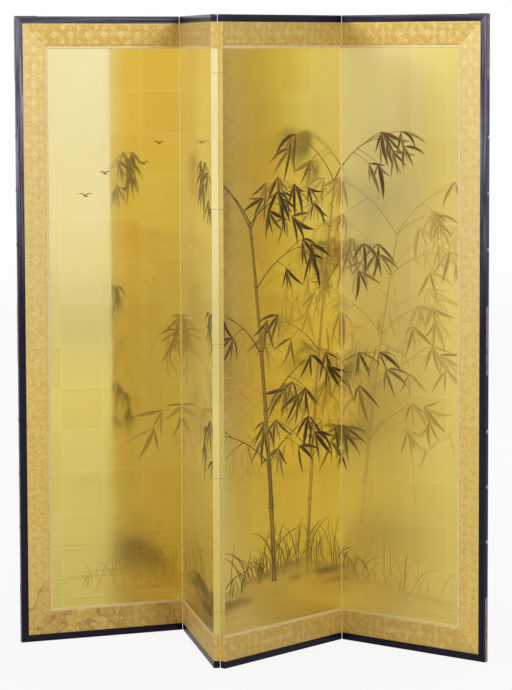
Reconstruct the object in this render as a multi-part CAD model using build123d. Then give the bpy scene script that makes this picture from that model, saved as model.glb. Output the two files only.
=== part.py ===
from build123d import *
from math import atan2, degrees
import os

# A four-panel byobu: paper-covered lattice panels with lacquered mouldings,
# joined by paper hinges into a screen that stands by its own folds.
# Each panel is made in its own frame: x runs along its width from one fold's
# axis to the next, y through its depth with the painted face towards -y, and
# z is up from the floor.

# Driving dimensions, in millimetres and degrees.

# The screen as a whole
screen_height = 1700.0
fold_pitch = 463.0  # from one fold's axis to the next
outer_margin = 4.0  # the screen's outer side faces stand this far inside the pitch
fold_1_angle = 82.0  # between the faces of panels 1 and 2 as the screen stands
fold_2_angle = 54.5  # between the backs of panels 2 and 3
fold_3_angle = 95.5  # between the faces of panels 3 and 4

# Cedar core
core_thickness = 12.4
stile_width = 24.0
rail_width = 24.0
slat_width = 12.0
upright_count = 3
crossbar_count = 11
tenon_length = 6.0
tenon_thickness = 4.2
tenon_shoulder = 2.5
mortise_clearance = 0.05

# Paper and cloth
lining_thickness = 1.2
gold_thickness = 0.4
inner_border_thickness = 0.5
brocade_thickness = 0.6
back_paper_thickness = 0.6
brocade_width = 62.0
inner_border_width = 6.5

# Lacquered mouldings
moulding_width = 19.0
moulding_edge_depth = 16.6
moulding_crown = 0.5  # the front and back faces swell by this much
moulding_round = 1.6
nail_radius = 1.0
nail_depth = 8.0  # into the moulding, and as far into the core
nail_clearance = 0.05
side_nail_count = 4  # down a side moulding, each in the middle of a bay of the lattice

# Paper hinges
fold_setback = 1.0  # from a fold's axis to the core's edge, along the panel
fold_clearance = 0.35  # from a fold's axis to the moulding's face, through the depth
hinge_paper = 0.4
hinge_end_gap = 0.05  # from a fold's axis to the end of each half of its paper
end_band_length = 130.0
long_band_count = 4
band_gap = 0.3

# Metal fittings on the outer sides
plate_width = 12.0
plate_thickness = 1.2
plate_point = 11.0  # length of a plate's pointed end
plate_notch_radius = 1.5
corner_plate_length = 173.0
corner_leg_length = 62.0
middle_plate_length = 184.0
plate_fit = 0.1  # around a leg that is let into its moulding
stud_count = 3  # between each plate and the next
stud_radius = 5.5
stud_height = 2.8
shank_radius = 1.0
shank_depth = 8.0
pin_radius = 1.4
pin_height = 0.9
pin_shank_radius = 0.6
corner_pin_distance = 26.0  # from the corner to its first pin
point_pin_distance = 12.0  # from a plate's tip to its last pin
shank_clearance = 0.05

# Sizes and places that follow

core_bottom = moulding_width
core_top = screen_height - moulding_width
core_half = core_thickness / 2
lining_face = core_half + lining_thickness
moulding_half = moulding_edge_depth / 2 + moulding_crown
axis_depth = moulding_half + fold_clearance
paper_front = lining_face + brocade_thickness
paper_back = lining_face + back_paper_thickness


def block(x_low, x_high, y_low, y_high, z_low, z_high):
    """A box between two corners."""
    centre = ((x_low + x_high) / 2, (y_low + y_high) / 2, (z_low + z_high) / 2)
    return Pos(*centre) * Box(x_high - x_low, y_high - y_low, z_high - z_low)


def rod(radius, start, end):
    """A cylinder from one point to another."""
    axis = Vector(*end) - Vector(*start)
    return extrude(Plane(origin=start, z_dir=axis) * Circle(radius), axis.length)


def spread(low, high, count):
    """Places of count items that divide the span from low to high evenly."""
    step = (high - low) / (count + 1)
    return [low + step * (i + 1) for i in range(count)]


def bay_middles(low, high, count):
    """Middles of the bays that count evenly placed items leave in a span."""
    ends = [low, *spread(low, high, count), high]
    return [(a + b) / 2 for a, b in zip(ends, ends[1:])]


# The left half's panels are built, and the right half's are their mirror
# images. An edge is "outer", or names the side on which its fold's axis lies.


def moulding_start(edge):
    """Distance of the mouldings' ends from the pitch line at an edge."""
    return outer_margin if edge == "outer" else fold_setback


def core_start(edge):
    """Distance of the core from the pitch line at an edge."""
    return outer_margin + moulding_width if edge == "outer" else fold_setback


def core_span(left, right):
    """The core's extent along the panel."""
    return core_start(left), fold_pitch - core_start(right)


def tenon(x_low, x_high, z_low, z_high, clearance=0.0):
    """A stub tenon in the middle of the core's thickness, or its mortise."""
    half = tenon_thickness / 2 + clearance
    return block(x_low, x_high, -half, half, z_low - clearance, z_high + clearance)


def rail_tenons(x_low, x_high, clearance=0.0):
    """Tenons at both ends of both rails, reaching past x_low and x_high."""
    reach = tenon_length + clearance
    for z_low in (core_bottom, core_top - rail_width):
        z_span = z_low + tenon_shoulder, z_low + rail_width - tenon_shoulder
        yield tenon(x_low - reach, x_low, *z_span, clearance)
        yield tenon(x_high, x_high + reach, *z_span, clearance)


def crossbar_tenons(x_low, x_high, z, clearance=0.0):
    """Tenons at both ends of the crossbar at height z."""
    reach = tenon_length + clearance
    half = slat_width / 2 - tenon_shoulder
    yield tenon(x_low - reach, x_low, z - half, z + half, clearance)
    yield tenon(x_high, x_high + reach, z - half, z + half, clearance)


def upright_tenons(x, clearance=0.0):
    """Tenons at the top and bottom of the upright at x."""
    reach = tenon_length + clearance
    half = slat_width / 2 - tenon_shoulder + clearance
    z_low, z_high = core_bottom + rail_width, core_top - rail_width
    yield tenon(x - half, x + half, z_low - reach, z_low)
    yield tenon(x - half, x + half, z_high, z_high + reach)


def crossbar_heights():
    """Heights of the crossbars' middles."""
    return spread(core_bottom + rail_width, core_top - rail_width, crossbar_count)


def side_nail_heights():
    """Heights of the hidden nails that hold a side moulding."""
    bays = bay_middles(core_bottom + rail_width, core_top - rail_width, crossbar_count)
    step = len(bays) // side_nail_count
    return bays[step // 2 :: step]


def rail_nails(left, right, radius):
    """Hidden nails, or their bores, between the rails and their mouldings."""
    x_low, x_high = core_span(left, right)
    for x in bay_middles(x_low + stile_width, x_high - stile_width, upright_count):
        for z in (core_bottom, core_top):
            yield rod(radius, (x, 0, z - nail_depth), (x, 0, z + nail_depth))


def side_nails(radius):
    """Hidden nails, or their bores, between the outer stile and its moulding."""
    x = core_start("outer")
    for z in side_nail_heights():
        yield rod(radius, (x - nail_depth, 0, z), (x + nail_depth, 0, z))


def core_stiles(left, right):
    """The core's two uprights at its edges, mortised for rails and crossbars."""
    x_low, x_high = core_span(left, right)
    inner = x_low + stile_width, x_high - stile_width
    cuts = list(rail_tenons(*inner, mortise_clearance))
    for z in crossbar_heights():
        cuts += crossbar_tenons(*inner, z, mortise_clearance)
    if left == "outer":
        cuts += side_nails(nail_radius + nail_clearance)
    depth = -core_half, core_half
    low = block(x_low, inner[0], *depth, core_bottom, core_top) - cuts
    high = block(inner[1], x_high, *depth, core_bottom, core_top) - cuts
    return [low, high]


def core_rails(left, right):
    """The core's top and bottom rails, mortised for the uprights."""
    x_low, x_high = core_span(left, right)
    inner = x_low + stile_width, x_high - stile_width
    cuts = list(rail_nails(left, right, nail_radius + nail_clearance))
    for x in spread(*inner, upright_count):
        cuts += upright_tenons(x, mortise_clearance)
    tenons = list(rail_tenons(*inner))
    rails = []
    for z_low, ends in ((core_bottom, tenons[:2]), (core_top - rail_width, tenons[2:])):
        rail = block(*inner, -core_half, core_half, z_low, z_low + rail_width)
        rails.append(rail + ends - cuts)
    return rails


def core_lattice(left, right):
    """Uprights and crossbars, half-lapped where they cross."""
    x_low, x_high = core_span(left, right)
    inner = x_low + stile_width, x_high - stile_width
    z_low, z_high = core_bottom + rail_width, core_top - rail_width
    half = slat_width / 2
    columns = spread(*inner, upright_count)
    heights = crossbar_heights()
    slats = []
    for x in columns:
        laps = [block(x - half, x + half, -core_half, 0, z - half, z + half) for z in heights]
        upright = block(x - half, x + half, -core_half, core_half, z_low, z_high)
        slats.append(upright + list(upright_tenons(x)) - laps)
    for z in heights:
        laps = [block(x - half, x + half, 0, core_half, z - half, z + half) for x in columns]
        crossbar = block(*inner, -core_half, core_half, z - half, z + half)
        slats.append(crossbar + list(crossbar_tenons(*inner, z)) - laps)
    return slats


def paper_linings(left, right):
    """The laminated paper that is drawn over both faces of the core."""
    span = core_span(left, right)
    return [
        block(*span, -lining_face, -core_half, core_bottom, core_top),
        block(*span, core_half, lining_face, core_bottom, core_top),
    ]


def back_paper(left, right):
    """The patterned paper on the back."""
    return [block(*core_span(left, right), lining_face, paper_back, core_bottom, core_top)]


def sheet(corners, thickness):
    """A sheet pasted on the front lining, its outline given as (x, z) corners."""
    outline = Polyline(*[(x, -lining_face, z) for x, z in corners], close=True)
    return extrude(make_face(outline), thickness, dir=(0, -1, 0))


def border_strips(left, right, inset, width, thickness):
    """Strips along the top, the bottom and an outer side, mitred at its corners."""
    x_low, x_high = core_span(left, right)
    z_low, z_high = core_bottom + inset, core_top - inset
    has_side = left == "outer"
    x_low += inset if has_side else 0
    mitre = width if has_side else 0
    strips = []
    for z_edge, z_inner in ((z_high, z_high - width), (z_low, z_low + width)):
        corners = [(x_low, z_edge), (x_high, z_edge), (x_high, z_inner), (x_low + mitre, z_inner)]
        strips.append(sheet(corners, thickness))
    if has_side:
        inner = x_low + width
        corners = [(x_low, z_low), (x_low, z_high), (inner, z_high - width), (inner, z_low + width)]
        strips.append(sheet(corners, thickness))
    return strips


def brocade_border(left, right):
    """The wide silk border next to the mouldings."""
    return border_strips(left, right, 0, brocade_width, brocade_thickness)


def inner_border(left, right):
    """The narrow strip between the brocade and the gold ground."""
    return border_strips(left, right, brocade_width, inner_border_width, inner_border_thickness)


def gold_ground(left, right):
    """The sheet of gold-leafed paper that carries the picture."""
    inset = brocade_width + inner_border_width
    x_low, x_high = core_span(left, right)
    x_low += inset if left == "outer" else 0
    z_low, z_high = core_bottom + inset, core_top - inset
    corners = [(x_low, z_low), (x_low, z_high), (x_high, z_high), (x_high, z_low)]
    return [sheet(corners, gold_thickness)]


def moulding(length, mitre_start, mitre_end):
    """A lacquered strip along x, its inner face at z = 0, mitred where asked."""
    edge = moulding_edge_depth / 2
    middle = moulding_width / 2
    corners = [(edge, 0), (edge, moulding_width), (-edge, moulding_width), (-edge, 0)]
    outline = [
        ThreePointArc(corners[0], (moulding_half, middle), corners[1]),
        Line(corners[1], corners[2]),
        ThreePointArc(corners[2], (-moulding_half, middle), corners[3]),
        Line(corners[3], corners[0]),
    ]
    section = make_face(outline)
    outer_corners = section.vertices().sort_by(Axis.Y)[-2:]
    section = fillet(outer_corners, moulding_round)
    strip = extrude(Plane.YZ * section, length)
    reach = moulding_width * 2
    for cut, x, turn in ((mitre_start, 0, -1), (mitre_end, length, 1)):
        if cut:
            plane = Plane(origin=(x, 0, moulding_width), z_dir=(turn, 0, -1))
            strip -= plane * Pos(0, 0, reach / 2) * Box(reach * 2, reach * 2, reach)
    return strip


def plate_leaf(length, pointed_start=False, growth=0.0):
    """A plate's outline along x with a pointed far end, notched at its shoulders."""
    half = plate_width / 2 + growth
    shoulder = length - plate_point
    tip = (length + growth, 0)
    edges = [
        TangentArc((shoulder, -half), tip, tangent=(1, 0)),
        TangentArc((shoulder, half), tip, tangent=(1, 0)),
    ]
    notches = [(shoulder, half), (shoulder, -half)]
    if pointed_start:
        start = (-growth, 0)
        edges += [
            TangentArc((plate_point, -half), start, tangent=(-1, 0)),
            TangentArc((plate_point, half), start, tangent=(-1, 0)),
            Line((plate_point, -half), (shoulder, -half)),
            Line((plate_point, half), (shoulder, half)),
        ]
        notches += [(plate_point, half), (plate_point, -half)]
    else:
        edges += [
            Line((0, -half), (shoulder, -half)),
            Line((0, half), (shoulder, half)),
            Line((0, -half), (0, half)),
        ]
    outline = make_face(edges)
    if growth:
        return outline
    return outline - [Pos(x, y) * Circle(plate_notch_radius) for x, y in notches]


# Planes on which the fittings lie: x along the plate, z out of the moulding.
top_side = Plane(origin=(outer_margin, 0, screen_height), x_dir=(0, 0, -1), z_dir=(-1, 0, 0))
top_face = Plane(origin=(outer_margin, 0, screen_height), x_dir=(1, 0, 0), z_dir=(0, 0, 1))
low_side = Plane(origin=(outer_margin, 0, 0), x_dir=(0, 0, 1), z_dir=(-1, 0, 0))
low_face = Plane(origin=(outer_margin, 0, plate_thickness), x_dir=(1, 0, 0), z_dir=(0, 0, -1))
middle_start = (screen_height - middle_plate_length) / 2
middle_side = Plane(origin=(outer_margin, 0, middle_start), x_dir=(0, 0, 1), z_dir=(-1, 0, 0))


def leaf_pin_places(length, start):
    """Distances of a leaf's pins from its corner or its first tip."""
    return start, length - point_pin_distance


def plate_pins():
    """Plane and place of each pin that holds a plate by its face."""
    for plane in (top_side, low_side):
        for x in leaf_pin_places(corner_plate_length, corner_pin_distance):
            yield plane, x
    for x in leaf_pin_places(corner_leg_length, corner_pin_distance):
        yield top_face, x
    for x in leaf_pin_places(middle_plate_length, point_pin_distance):
        yield middle_side, x


def shank(plane, x, radius, depth):
    """A nail's shank, or its bore, from a fitting's outer face into the moulding."""
    start = (plane * Pos(x, 0, plate_thickness)).position
    end = (plane * Pos(x, 0, -depth)).position
    return rod(radius, tuple(start), tuple(end))


def pin_bores():
    """Bores for the plates' pins."""
    radius = pin_shank_radius + shank_clearance
    depth = shank_depth + shank_clearance
    return [shank(plane, x, radius, depth) for plane, x in plate_pins()]


def stud_heights():
    """Heights of the studs, evenly placed between the plates."""
    spans = (
        (corner_plate_length, middle_start),
        (middle_start + middle_plate_length, screen_height - corner_plate_length),
    )
    return [z for low, high in spans for z in spread(low, high, stud_count)]


def stud_bores():
    """Bores for the studs' shanks."""
    depth = shank_depth + shank_clearance
    radius = shank_radius + shank_clearance
    return [
        rod(radius, (outer_margin, 0, z), (outer_margin + depth, 0, z)) for z in stud_heights()
    ]


def let_in_leg():
    """The shallow bed of the bottom corner plate's leg."""
    bed = plate_leaf(corner_leg_length, growth=plate_fit)
    return low_face * extrude(bed, plate_thickness)


def corner_plates():
    """An angled plate over the top corner, and one let in under the bottom."""
    side = extrude(plate_leaf(corner_plate_length), plate_thickness)
    leg = extrude(plate_leaf(corner_leg_length), plate_thickness)
    half = plate_width / 2
    edge = outer_margin - plate_thickness
    bend = block(
        edge, outer_margin, -half, half, screen_height, screen_height + plate_thickness
    )
    top = (top_side * side + top_face * leg + bend) - pin_bores()
    bottom = (low_side * side + low_face * leg) - pin_bores()
    return [top, bottom]


def middle_plate():
    """A plate pointed at both ends, halfway up the side."""
    leaf = extrude(plate_leaf(middle_plate_length, pointed_start=True), plate_thickness)
    return [middle_side * leaf - pin_bores()]


def domed_nail(head_radius, head_height, radius, depth):
    """A nail along z with a domed head that sits on z = 0."""
    rise = (head_radius**2 + head_height**2) / (2 * head_height)
    cap = Pos(0, 0, head_height - rise) * Sphere(rise)
    head = cap & Pos(0, 0, head_height / 2) * Box(head_radius * 2, head_radius * 2, head_height)
    return head + rod(radius, (0, 0, -depth), (0, 0, 0))


def plate_pin_nails():
    """The small pins that hold the plates."""
    nail = domed_nail(pin_radius, pin_height, pin_shank_radius, shank_depth + plate_thickness)
    return [plane * Pos(x, 0, plate_thickness) * nail for plane, x in plate_pins()]


def side_studs():
    """The domed studs along the side."""
    nail = domed_nail(stud_radius, stud_height, shank_radius, shank_depth)
    return [low_side * Pos(z, 0, 0) * nail for z in stud_heights()]


def top_and_bottom_mouldings(left, right):
    """The mouldings over and under the panel."""
    x_low = moulding_start(left)
    length = fold_pitch - moulding_start(right) - x_low
    strip = moulding(length, left == "outer", False)
    cuts = list(rail_nails(left, right, nail_radius + nail_clearance))
    if left == "outer":
        cuts += pin_bores() + [let_in_leg()]
    top = Pos(x_low, 0, core_top) * strip - cuts
    bottom = mirror(Pos(x_low, 0, 0) * strip, about=Plane.XY)
    bottom = Pos(0, 0, core_bottom) * bottom - cuts
    return top, bottom


def outer_moulding():
    """The moulding down the screen's outer side, mitred at both ends."""
    strip = moulding(screen_height, True, True)
    side = Plane(origin=(core_start("outer"), 0, 0), x_dir=(0, 0, 1), z_dir=(-1, 0, 0))
    cuts = list(side_nails(nail_radius + nail_clearance))
    cuts += pin_bores() + stud_bores() + [let_in_leg()]
    return [side * strip - cuts]


def moulding_nails(left, right):
    """The hidden nails that hold the mouldings to the core."""
    nails = list(rail_nails(left, right, nail_radius))
    if left == "outer":
        nails += side_nails(nail_radius)
    return nails


def hinge_bands():
    """Heights at which each band of a paper hinge begins and ends."""
    long_span = core_top - core_bottom - end_band_length * 2
    long_length = long_span / long_band_count
    seams = [core_bottom + end_band_length + long_length * i for i in range(long_band_count + 1)]
    ends = [core_bottom, *seams, core_top]
    return [(low + band_gap / 2, high - band_gap / 2) for low, high in zip(ends, ends[1:])]


def hinge_papers(side, axis_at):
    """One panel's half of a paper hinge: over the edge and on to the fold's axis."""
    far = axis_depth + (paper_back if axis_at == "front" else paper_front)
    near = axis_depth - (paper_front if axis_at == "front" else paper_back)
    inner, outer = fold_setback, fold_setback - hinge_paper
    tip = hinge_end_gap
    outline = [
        (inner, far),
        (outer, far),
        (outer, near + tip),
        (tip, tip + hinge_paper),
        (tip, tip),
        (tip + hinge_paper, tip),
        (inner, near - tip),
    ]
    turn = 1 if axis_at == "front" else -1
    corners = [
        (u if side == "left" else fold_pitch - u, turn * (v - axis_depth)) for u, v in outline
    ]
    section = make_face(Polyline(*corners, close=True))
    return [
        Pos(0, 0, low) * extrude(section, high - low, dir=(0, 0, 1))
        for low, high in hinge_bands()
    ]


def panel_pieces(left, right):
    """Every piece of one panel, by its plain name."""
    top, bottom = top_and_bottom_mouldings(left, right)
    pieces = {
        "core_stiles": core_stiles(left, right),
        "core_rails": core_rails(left, right),
        "core_lattice": core_lattice(left, right),
        "paper_linings": paper_linings(left, right),
        "gold_ground": gold_ground(left, right),
        "brocade_border": brocade_border(left, right),
        "inner_border": inner_border(left, right),
        "back_paper": back_paper(left, right),
        "top_moulding": [top],
        "bottom_moulding": [bottom],
        "moulding_nails": moulding_nails(left, right),
        "right_hinge_papers": hinge_papers("right", right),
    }
    if left == "outer":
        pieces["outer_moulding"] = outer_moulding()
        pieces["corner_plates"] = corner_plates()
        pieces["middle_plate"] = middle_plate()
        pieces["side_studs"] = side_studs()
        pieces["plate_pins"] = plate_pin_nails()
    else:
        pieces["left_hinge_papers"] = hinge_papers("left", left)
    return {name: Compound(solids) for name, solids in pieces.items()}


def mirrored(pieces):
    """A panel turned left for right about the middle of its pitch."""
    middle = Plane(origin=(fold_pitch / 2, 0, 0), z_dir=(1, 0, 0))
    swapped = {}
    for name, shape in pieces.items():
        if name.startswith("left"):
            name = name.replace("left", "right")
        elif name.startswith("right"):
            name = name.replace("right", "left")
        swapped[name] = mirror(shape, about=middle)
    return swapped


# Standing the panels up. A fold's axis lies in front of the panels where their
# faces meet, and behind them where their backs meet.

axis_sides = (-1, 1, -1)
fold_angles = (fold_1_angle, fold_2_angle, fold_3_angle)


def standing_places():
    """Each panel's place and the three folds' axes, seen from above."""
    places = [Location()]
    axes = []
    for side, angle in zip(axis_sides, fold_angles):
        axis_point = Pos(fold_pitch, side * axis_depth, 0)
        turn = Rot(0, 0, side * (180 - angle))
        axes.append(places[-1] * axis_point)
        places.append(places[-1] * axis_point * turn * Pos(0, -side * axis_depth, 0))
    start = (places[0] * Pos(outer_margin, 0, 0)).position
    end = (places[-1] * Pos(fold_pitch - outer_margin, 0, 0)).position
    level = Rot(0, 0, -degrees(atan2(end.Y - start.Y, end.X - start.X)))
    return [level * place for place in places], [level * axis for axis in axes]


def standing_screen():
    """Every node in its standing place, and the folds' axes in the same frame."""
    end_panel = panel_pieces("outer", "front")
    inner_panel = panel_pieces("front", "back")
    panels = [end_panel, inner_panel, mirrored(inner_panel), mirrored(end_panel)]
    places, axes = standing_places()
    nodes = {}
    for number, (panel, place) in enumerate(zip(panels, places), start=1):
        for name, shape in panel.items():
            nodes[f"panel_{number}_{name}"] = place * shape
    boxes = [shape.bounding_box() for shape in nodes.values()]
    middle_x = (min(box.min.X for box in boxes) + max(box.max.X for box in boxes)) / 2
    middle_y = (min(box.min.Y for box in boxes) + max(box.max.Y for box in boxes)) / 2
    centre = Pos(-middle_x, -middle_y, 0)
    axes = [centre * axis for axis in axes]
    return {name: centre * shape for name, shape in nodes.items()}, axes


if __name__ == "__main__":
    os.makedirs("parts", exist_ok=True)
    screen, fold_axes = standing_screen()
    for node, shape in screen.items():
        export_step(shape, f"parts/{node}.step")
    for number, axis in enumerate(fold_axes, start=1):
        print(f"fold {number} axis at x {axis.position.X:.4f}, y {axis.position.Y:.4f}")
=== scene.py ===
"""A four-panel gold folding screen: gold leaf, ink, brocade, black lacquer and dark metal fittings."""

import logging
import math
from dataclasses import dataclass, field
from enum import Enum
from typing import Callable, Dict, List, Optional, Sequence, Tuple, Union

import bpy
import numpy as np
from mathutils import Euler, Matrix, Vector


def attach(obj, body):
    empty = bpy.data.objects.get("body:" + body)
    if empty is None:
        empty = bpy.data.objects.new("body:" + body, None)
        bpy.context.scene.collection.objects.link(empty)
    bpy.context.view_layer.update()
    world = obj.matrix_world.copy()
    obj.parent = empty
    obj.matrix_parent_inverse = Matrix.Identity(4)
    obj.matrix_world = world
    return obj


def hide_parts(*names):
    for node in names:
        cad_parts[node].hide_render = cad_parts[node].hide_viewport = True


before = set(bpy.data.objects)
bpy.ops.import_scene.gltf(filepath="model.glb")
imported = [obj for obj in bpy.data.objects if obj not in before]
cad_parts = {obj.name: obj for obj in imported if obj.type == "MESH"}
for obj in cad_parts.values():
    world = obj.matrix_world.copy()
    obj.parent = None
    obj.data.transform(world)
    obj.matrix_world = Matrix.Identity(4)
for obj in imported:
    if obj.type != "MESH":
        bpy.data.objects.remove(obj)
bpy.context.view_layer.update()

log = logging.getLogger("folding_screen")

MM = 0.001
Rgb = Tuple[float, float, float]
Grid = np.ndarray
Grids = Dict[str, Grid]
Numbers = Sequence[float]
Options = Optional[dict]
Material = bpy.types.Material


# ---- Shader expressions ----


def maths(operation: str, swapped: bool = False) -> Callable[..., "Field"]:
    """Writes a method of Field that adds a Math node.

    Args:
        operation: the node's operation.
        swapped: whether the field comes last, as in 1 - field.

    Returns:
        The method, which takes what the operation needs besides the field.
    """

    def method(self: "Field", *others: "Value") -> "Field":
        """The operation's result on the field and the others."""
        values = (self, *others)
        return self.graph.math(operation, *(values[::-1] if swapped else values))

    return method


class Field:
    """A quantity that varies over a surface; its arithmetic adds Math nodes."""

    def __init__(self, graph: "Graph", socket: bpy.types.NodeSocket) -> None:
        """Wraps one output socket of a graph."""
        self.graph = graph
        self.socket = socket

    __add__ = __radd__ = maths("ADD")
    __sub__ = maths("SUBTRACT")
    __rsub__ = maths("SUBTRACT", swapped=True)
    __mul__ = __rmul__ = maths("MULTIPLY")
    __truediv__ = maths("DIVIDE")
    floor = maths("FLOOR")
    fract = maths("FRACT")
    sine = maths("SINE")
    cosine = maths("COSINE")
    angle = maths("ARCTAN2")
    root = maths("SQRT")
    size = maths("ABSOLUTE")
    least = maths("MINIMUM")
    most = maths("MAXIMUM")

    def reach(self, other: "Field") -> "Field":
        """How far a place lies from the middle, from its two coordinates."""
        return (self * self + other * other).root()

    def rise(self, low: float, high: float) -> "Field":
        """A smooth step from 0 at low to 1 at high."""
        inputs = {"Value": self, "From Min": low, "From Max": high}
        return self.graph.field("ShaderNodeMapRange", {"interpolation_type": "SMOOTHSTEP"}, inputs)


Value = Union[Field, float]
Paint = Union[Field, Rgb]


class Graph:
    """The node tree of a material or of the world, built from expressions."""

    def __init__(self, name: str, world: bool = False) -> None:
        """Starts an empty tree.

        Args:
            name: the material's or the world's name.
            world: whether it is the world's tree.
        """
        self.owner = (bpy.data.worlds if world else bpy.data.materials).new(name)
        self.owner.use_nodes = True
        self.tree = self.owner.node_tree
        self.tree.nodes.clear()

    def node(self, kind: str, settings: Options = None, inputs: Options = None) -> bpy.types.Node:
        """Adds a node.

        Args:
            kind: the node's type.
            settings: its own properties, set first.
            inputs: values or links of its sockets, by name or index.

        Returns:
            The new node.
        """
        made = self.tree.nodes.new(kind)
        for key, value in (settings or {}).items():
            setattr(made, key, value)
        for key, value in (inputs or {}).items():
            socket = made.inputs[key]
            if isinstance(value, Field):
                self.tree.links.new(value.socket, socket)
            elif socket.type == "RGBA":
                socket.default_value = (*value, 1.0)
            else:
                socket.default_value = value
        return made

    def field(
        self, kind: str, settings: Options = None, inputs: Options = None, output: Union[int, str] = 0
    ) -> Field:
        """Adds a node and gives one of its outputs."""
        return Field(self, self.node(kind, settings, inputs).outputs[output])

    def math(self, operation: str, *values: Value) -> Field:
        """A Math node on one or two values."""
        return self.field("ShaderNodeMath", {"operation": operation}, dict(enumerate(values)))

    def attribute(self, name: str) -> Field:
        """A number stored on the mesh."""
        return self.field("ShaderNodeAttribute", {"attribute_name": name}, output="Fac")

    def uv(self, name: str) -> Field:
        """A UV map's place, in metres."""
        return self.field("ShaderNodeUVMap", {"uv_map": name})

    def place(self) -> Field:
        """The point's place in the piece's own coordinates."""
        return self.field("ShaderNodeTexCoord", output="Object")

    def turned(self, point: Field, turn: float = 0.0, scale: Rgb = (1, 1, 1)) -> Field:
        """A place turned about the vertical and scaled."""
        inputs = {"Vector": point, "Rotation": (0, 0, turn), "Scale": scale}
        return self.field("ShaderNodeMapping", None, inputs)

    def axes(self, point: Field) -> Tuple[Field, ...]:
        """A place's three coordinates."""
        made = self.node("ShaderNodeSeparateXYZ", None, {0: point})
        return tuple(Field(self, made.outputs[i]) for i in range(3))

    def point(self, x: Value, y: Value, z: Value = 0.0) -> Field:
        """A place from three coordinates."""
        return self.field("ShaderNodeCombineXYZ", None, {0: x, 1: y, 2: z})

    def noise(self, point: Field, scale: float, detail: float = 2.0, distortion: float = 0.0) -> Field:
        """Smooth noise from 0 to 1."""
        inputs = {"Vector": point, "Scale": scale, "Detail": detail, "Distortion": distortion}
        return self.field("ShaderNodeTexNoise", None, inputs)

    def chance(self, point: Field) -> Field:
        """A random number from 0 to 1 for each place."""
        return self.field("ShaderNodeTexWhiteNoise", {"noise_dimensions": "3D"}, {"Vector": point})

    def rays(self) -> Tuple[Field, ...]:
        """Tells rays apart.

        Returns:
            Whether a ray is the camera's, a reflected one or one through something clear.
        """
        path = self.node("ShaderNodeLightPath")
        kinds = ("Camera", "Glossy", "Transmission")
        return tuple(Field(self, path.outputs[f"Is {kind} Ray"]) for kind in kinds)

    def mix(self, share: Value, first: Paint, second: Paint) -> Field:
        """A colour between two."""
        inputs = {0: share, 6: first, 7: second}
        return self.field("ShaderNodeMix", {"data_type": "RGBA"}, inputs, output=2)

    def shaded(self, colour: Paint, amount: Value) -> Field:
        """A colour made lighter or darker by a factor."""
        return self.field("ShaderNodeVectorMath", {"operation": "SCALE"}, {0: colour, "Scale": amount})

    def bump(self, height: Field, distance: float, strength: float = 1.0) -> Field:
        """A normal from a height of 0 to 1."""
        inputs = {"Height": height, "Distance": distance, "Strength": strength}
        return self.field("ShaderNodeBump", None, inputs)

    def finish(self, **sockets: Union[Field, float, Rgb]) -> Material:
        """Ends the tree in a Principled shader.

        Args:
            sockets: the shader's sockets, with spaces written as underscores.

        Returns:
            The material.
        """
        inputs = {key.replace("_", " "): value for key, value in sockets.items()}
        shader = self.field("ShaderNodeBsdfPrincipled", None, inputs)
        self.node("ShaderNodeOutputMaterial", None, {"Surface": shader})
        return self.owner


# ---- Meshes ----


def grid_faces(rows: int, columns: int, first: int = 0, closed: bool = False) -> Grid:
    """Quads between the points of a grid.

    Args:
        rows: points down the grid.
        columns: points across it.
        first: index of the grid's first point.
        closed: whether the last column joins the first.

    Returns:
        One row of four point indices for each quad.
    """
    row = np.arange(rows - 1)[:, None] * columns
    column = np.arange(columns if closed else columns - 1)[None, :]
    after = (column + 1) % columns
    corners = [row + column, row + after, row + columns + after, row + columns + column]
    return first + np.stack([c.ravel() for c in np.broadcast_arrays(*corners)], axis=1)


def edge_loop(rows: int, columns: int) -> Grid:
    """Walks round a grid's outer points.

    Args:
        rows: points down the grid.
        columns: points across it.

    Returns:
        Their indices, in order.
    """
    top = np.arange(columns)
    right = np.arange(1, rows) * columns + columns - 1
    bottom = (rows - 1) * columns + np.arange(columns - 2, -1, -1)
    left = np.arange(rows - 2, 0, -1) * columns
    return np.concatenate([top, right, bottom, left])


def end_caps(rings: int, size: int) -> Grid:
    """The two faces that fill a loft's ends, from its count of rings and of points in each."""
    return np.stack([np.arange(size)[::-1], (rings - 1) * size + np.arange(size)])


def signed_volume(points: Grid, groups: Sequence[Grid]) -> float:
    """Adds up the boxes that the faces' triangles span with the points' middle.

    Args:
        points: places, one in each row.
        groups: faces, as rows of point indices.

    Returns:
        Six times the volume inside, negative where the faces point inwards.
    """
    total = 0.0
    centred = points - points.mean(0)
    for faces in groups:
        for k in range(1, faces.shape[1] - 1):
            a, b, c = (centred[faces[:, i]] for i in (0, k, k + 1))
            total += float(np.einsum("ij,ij->", a, np.cross(b, c)))
    return total


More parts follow.
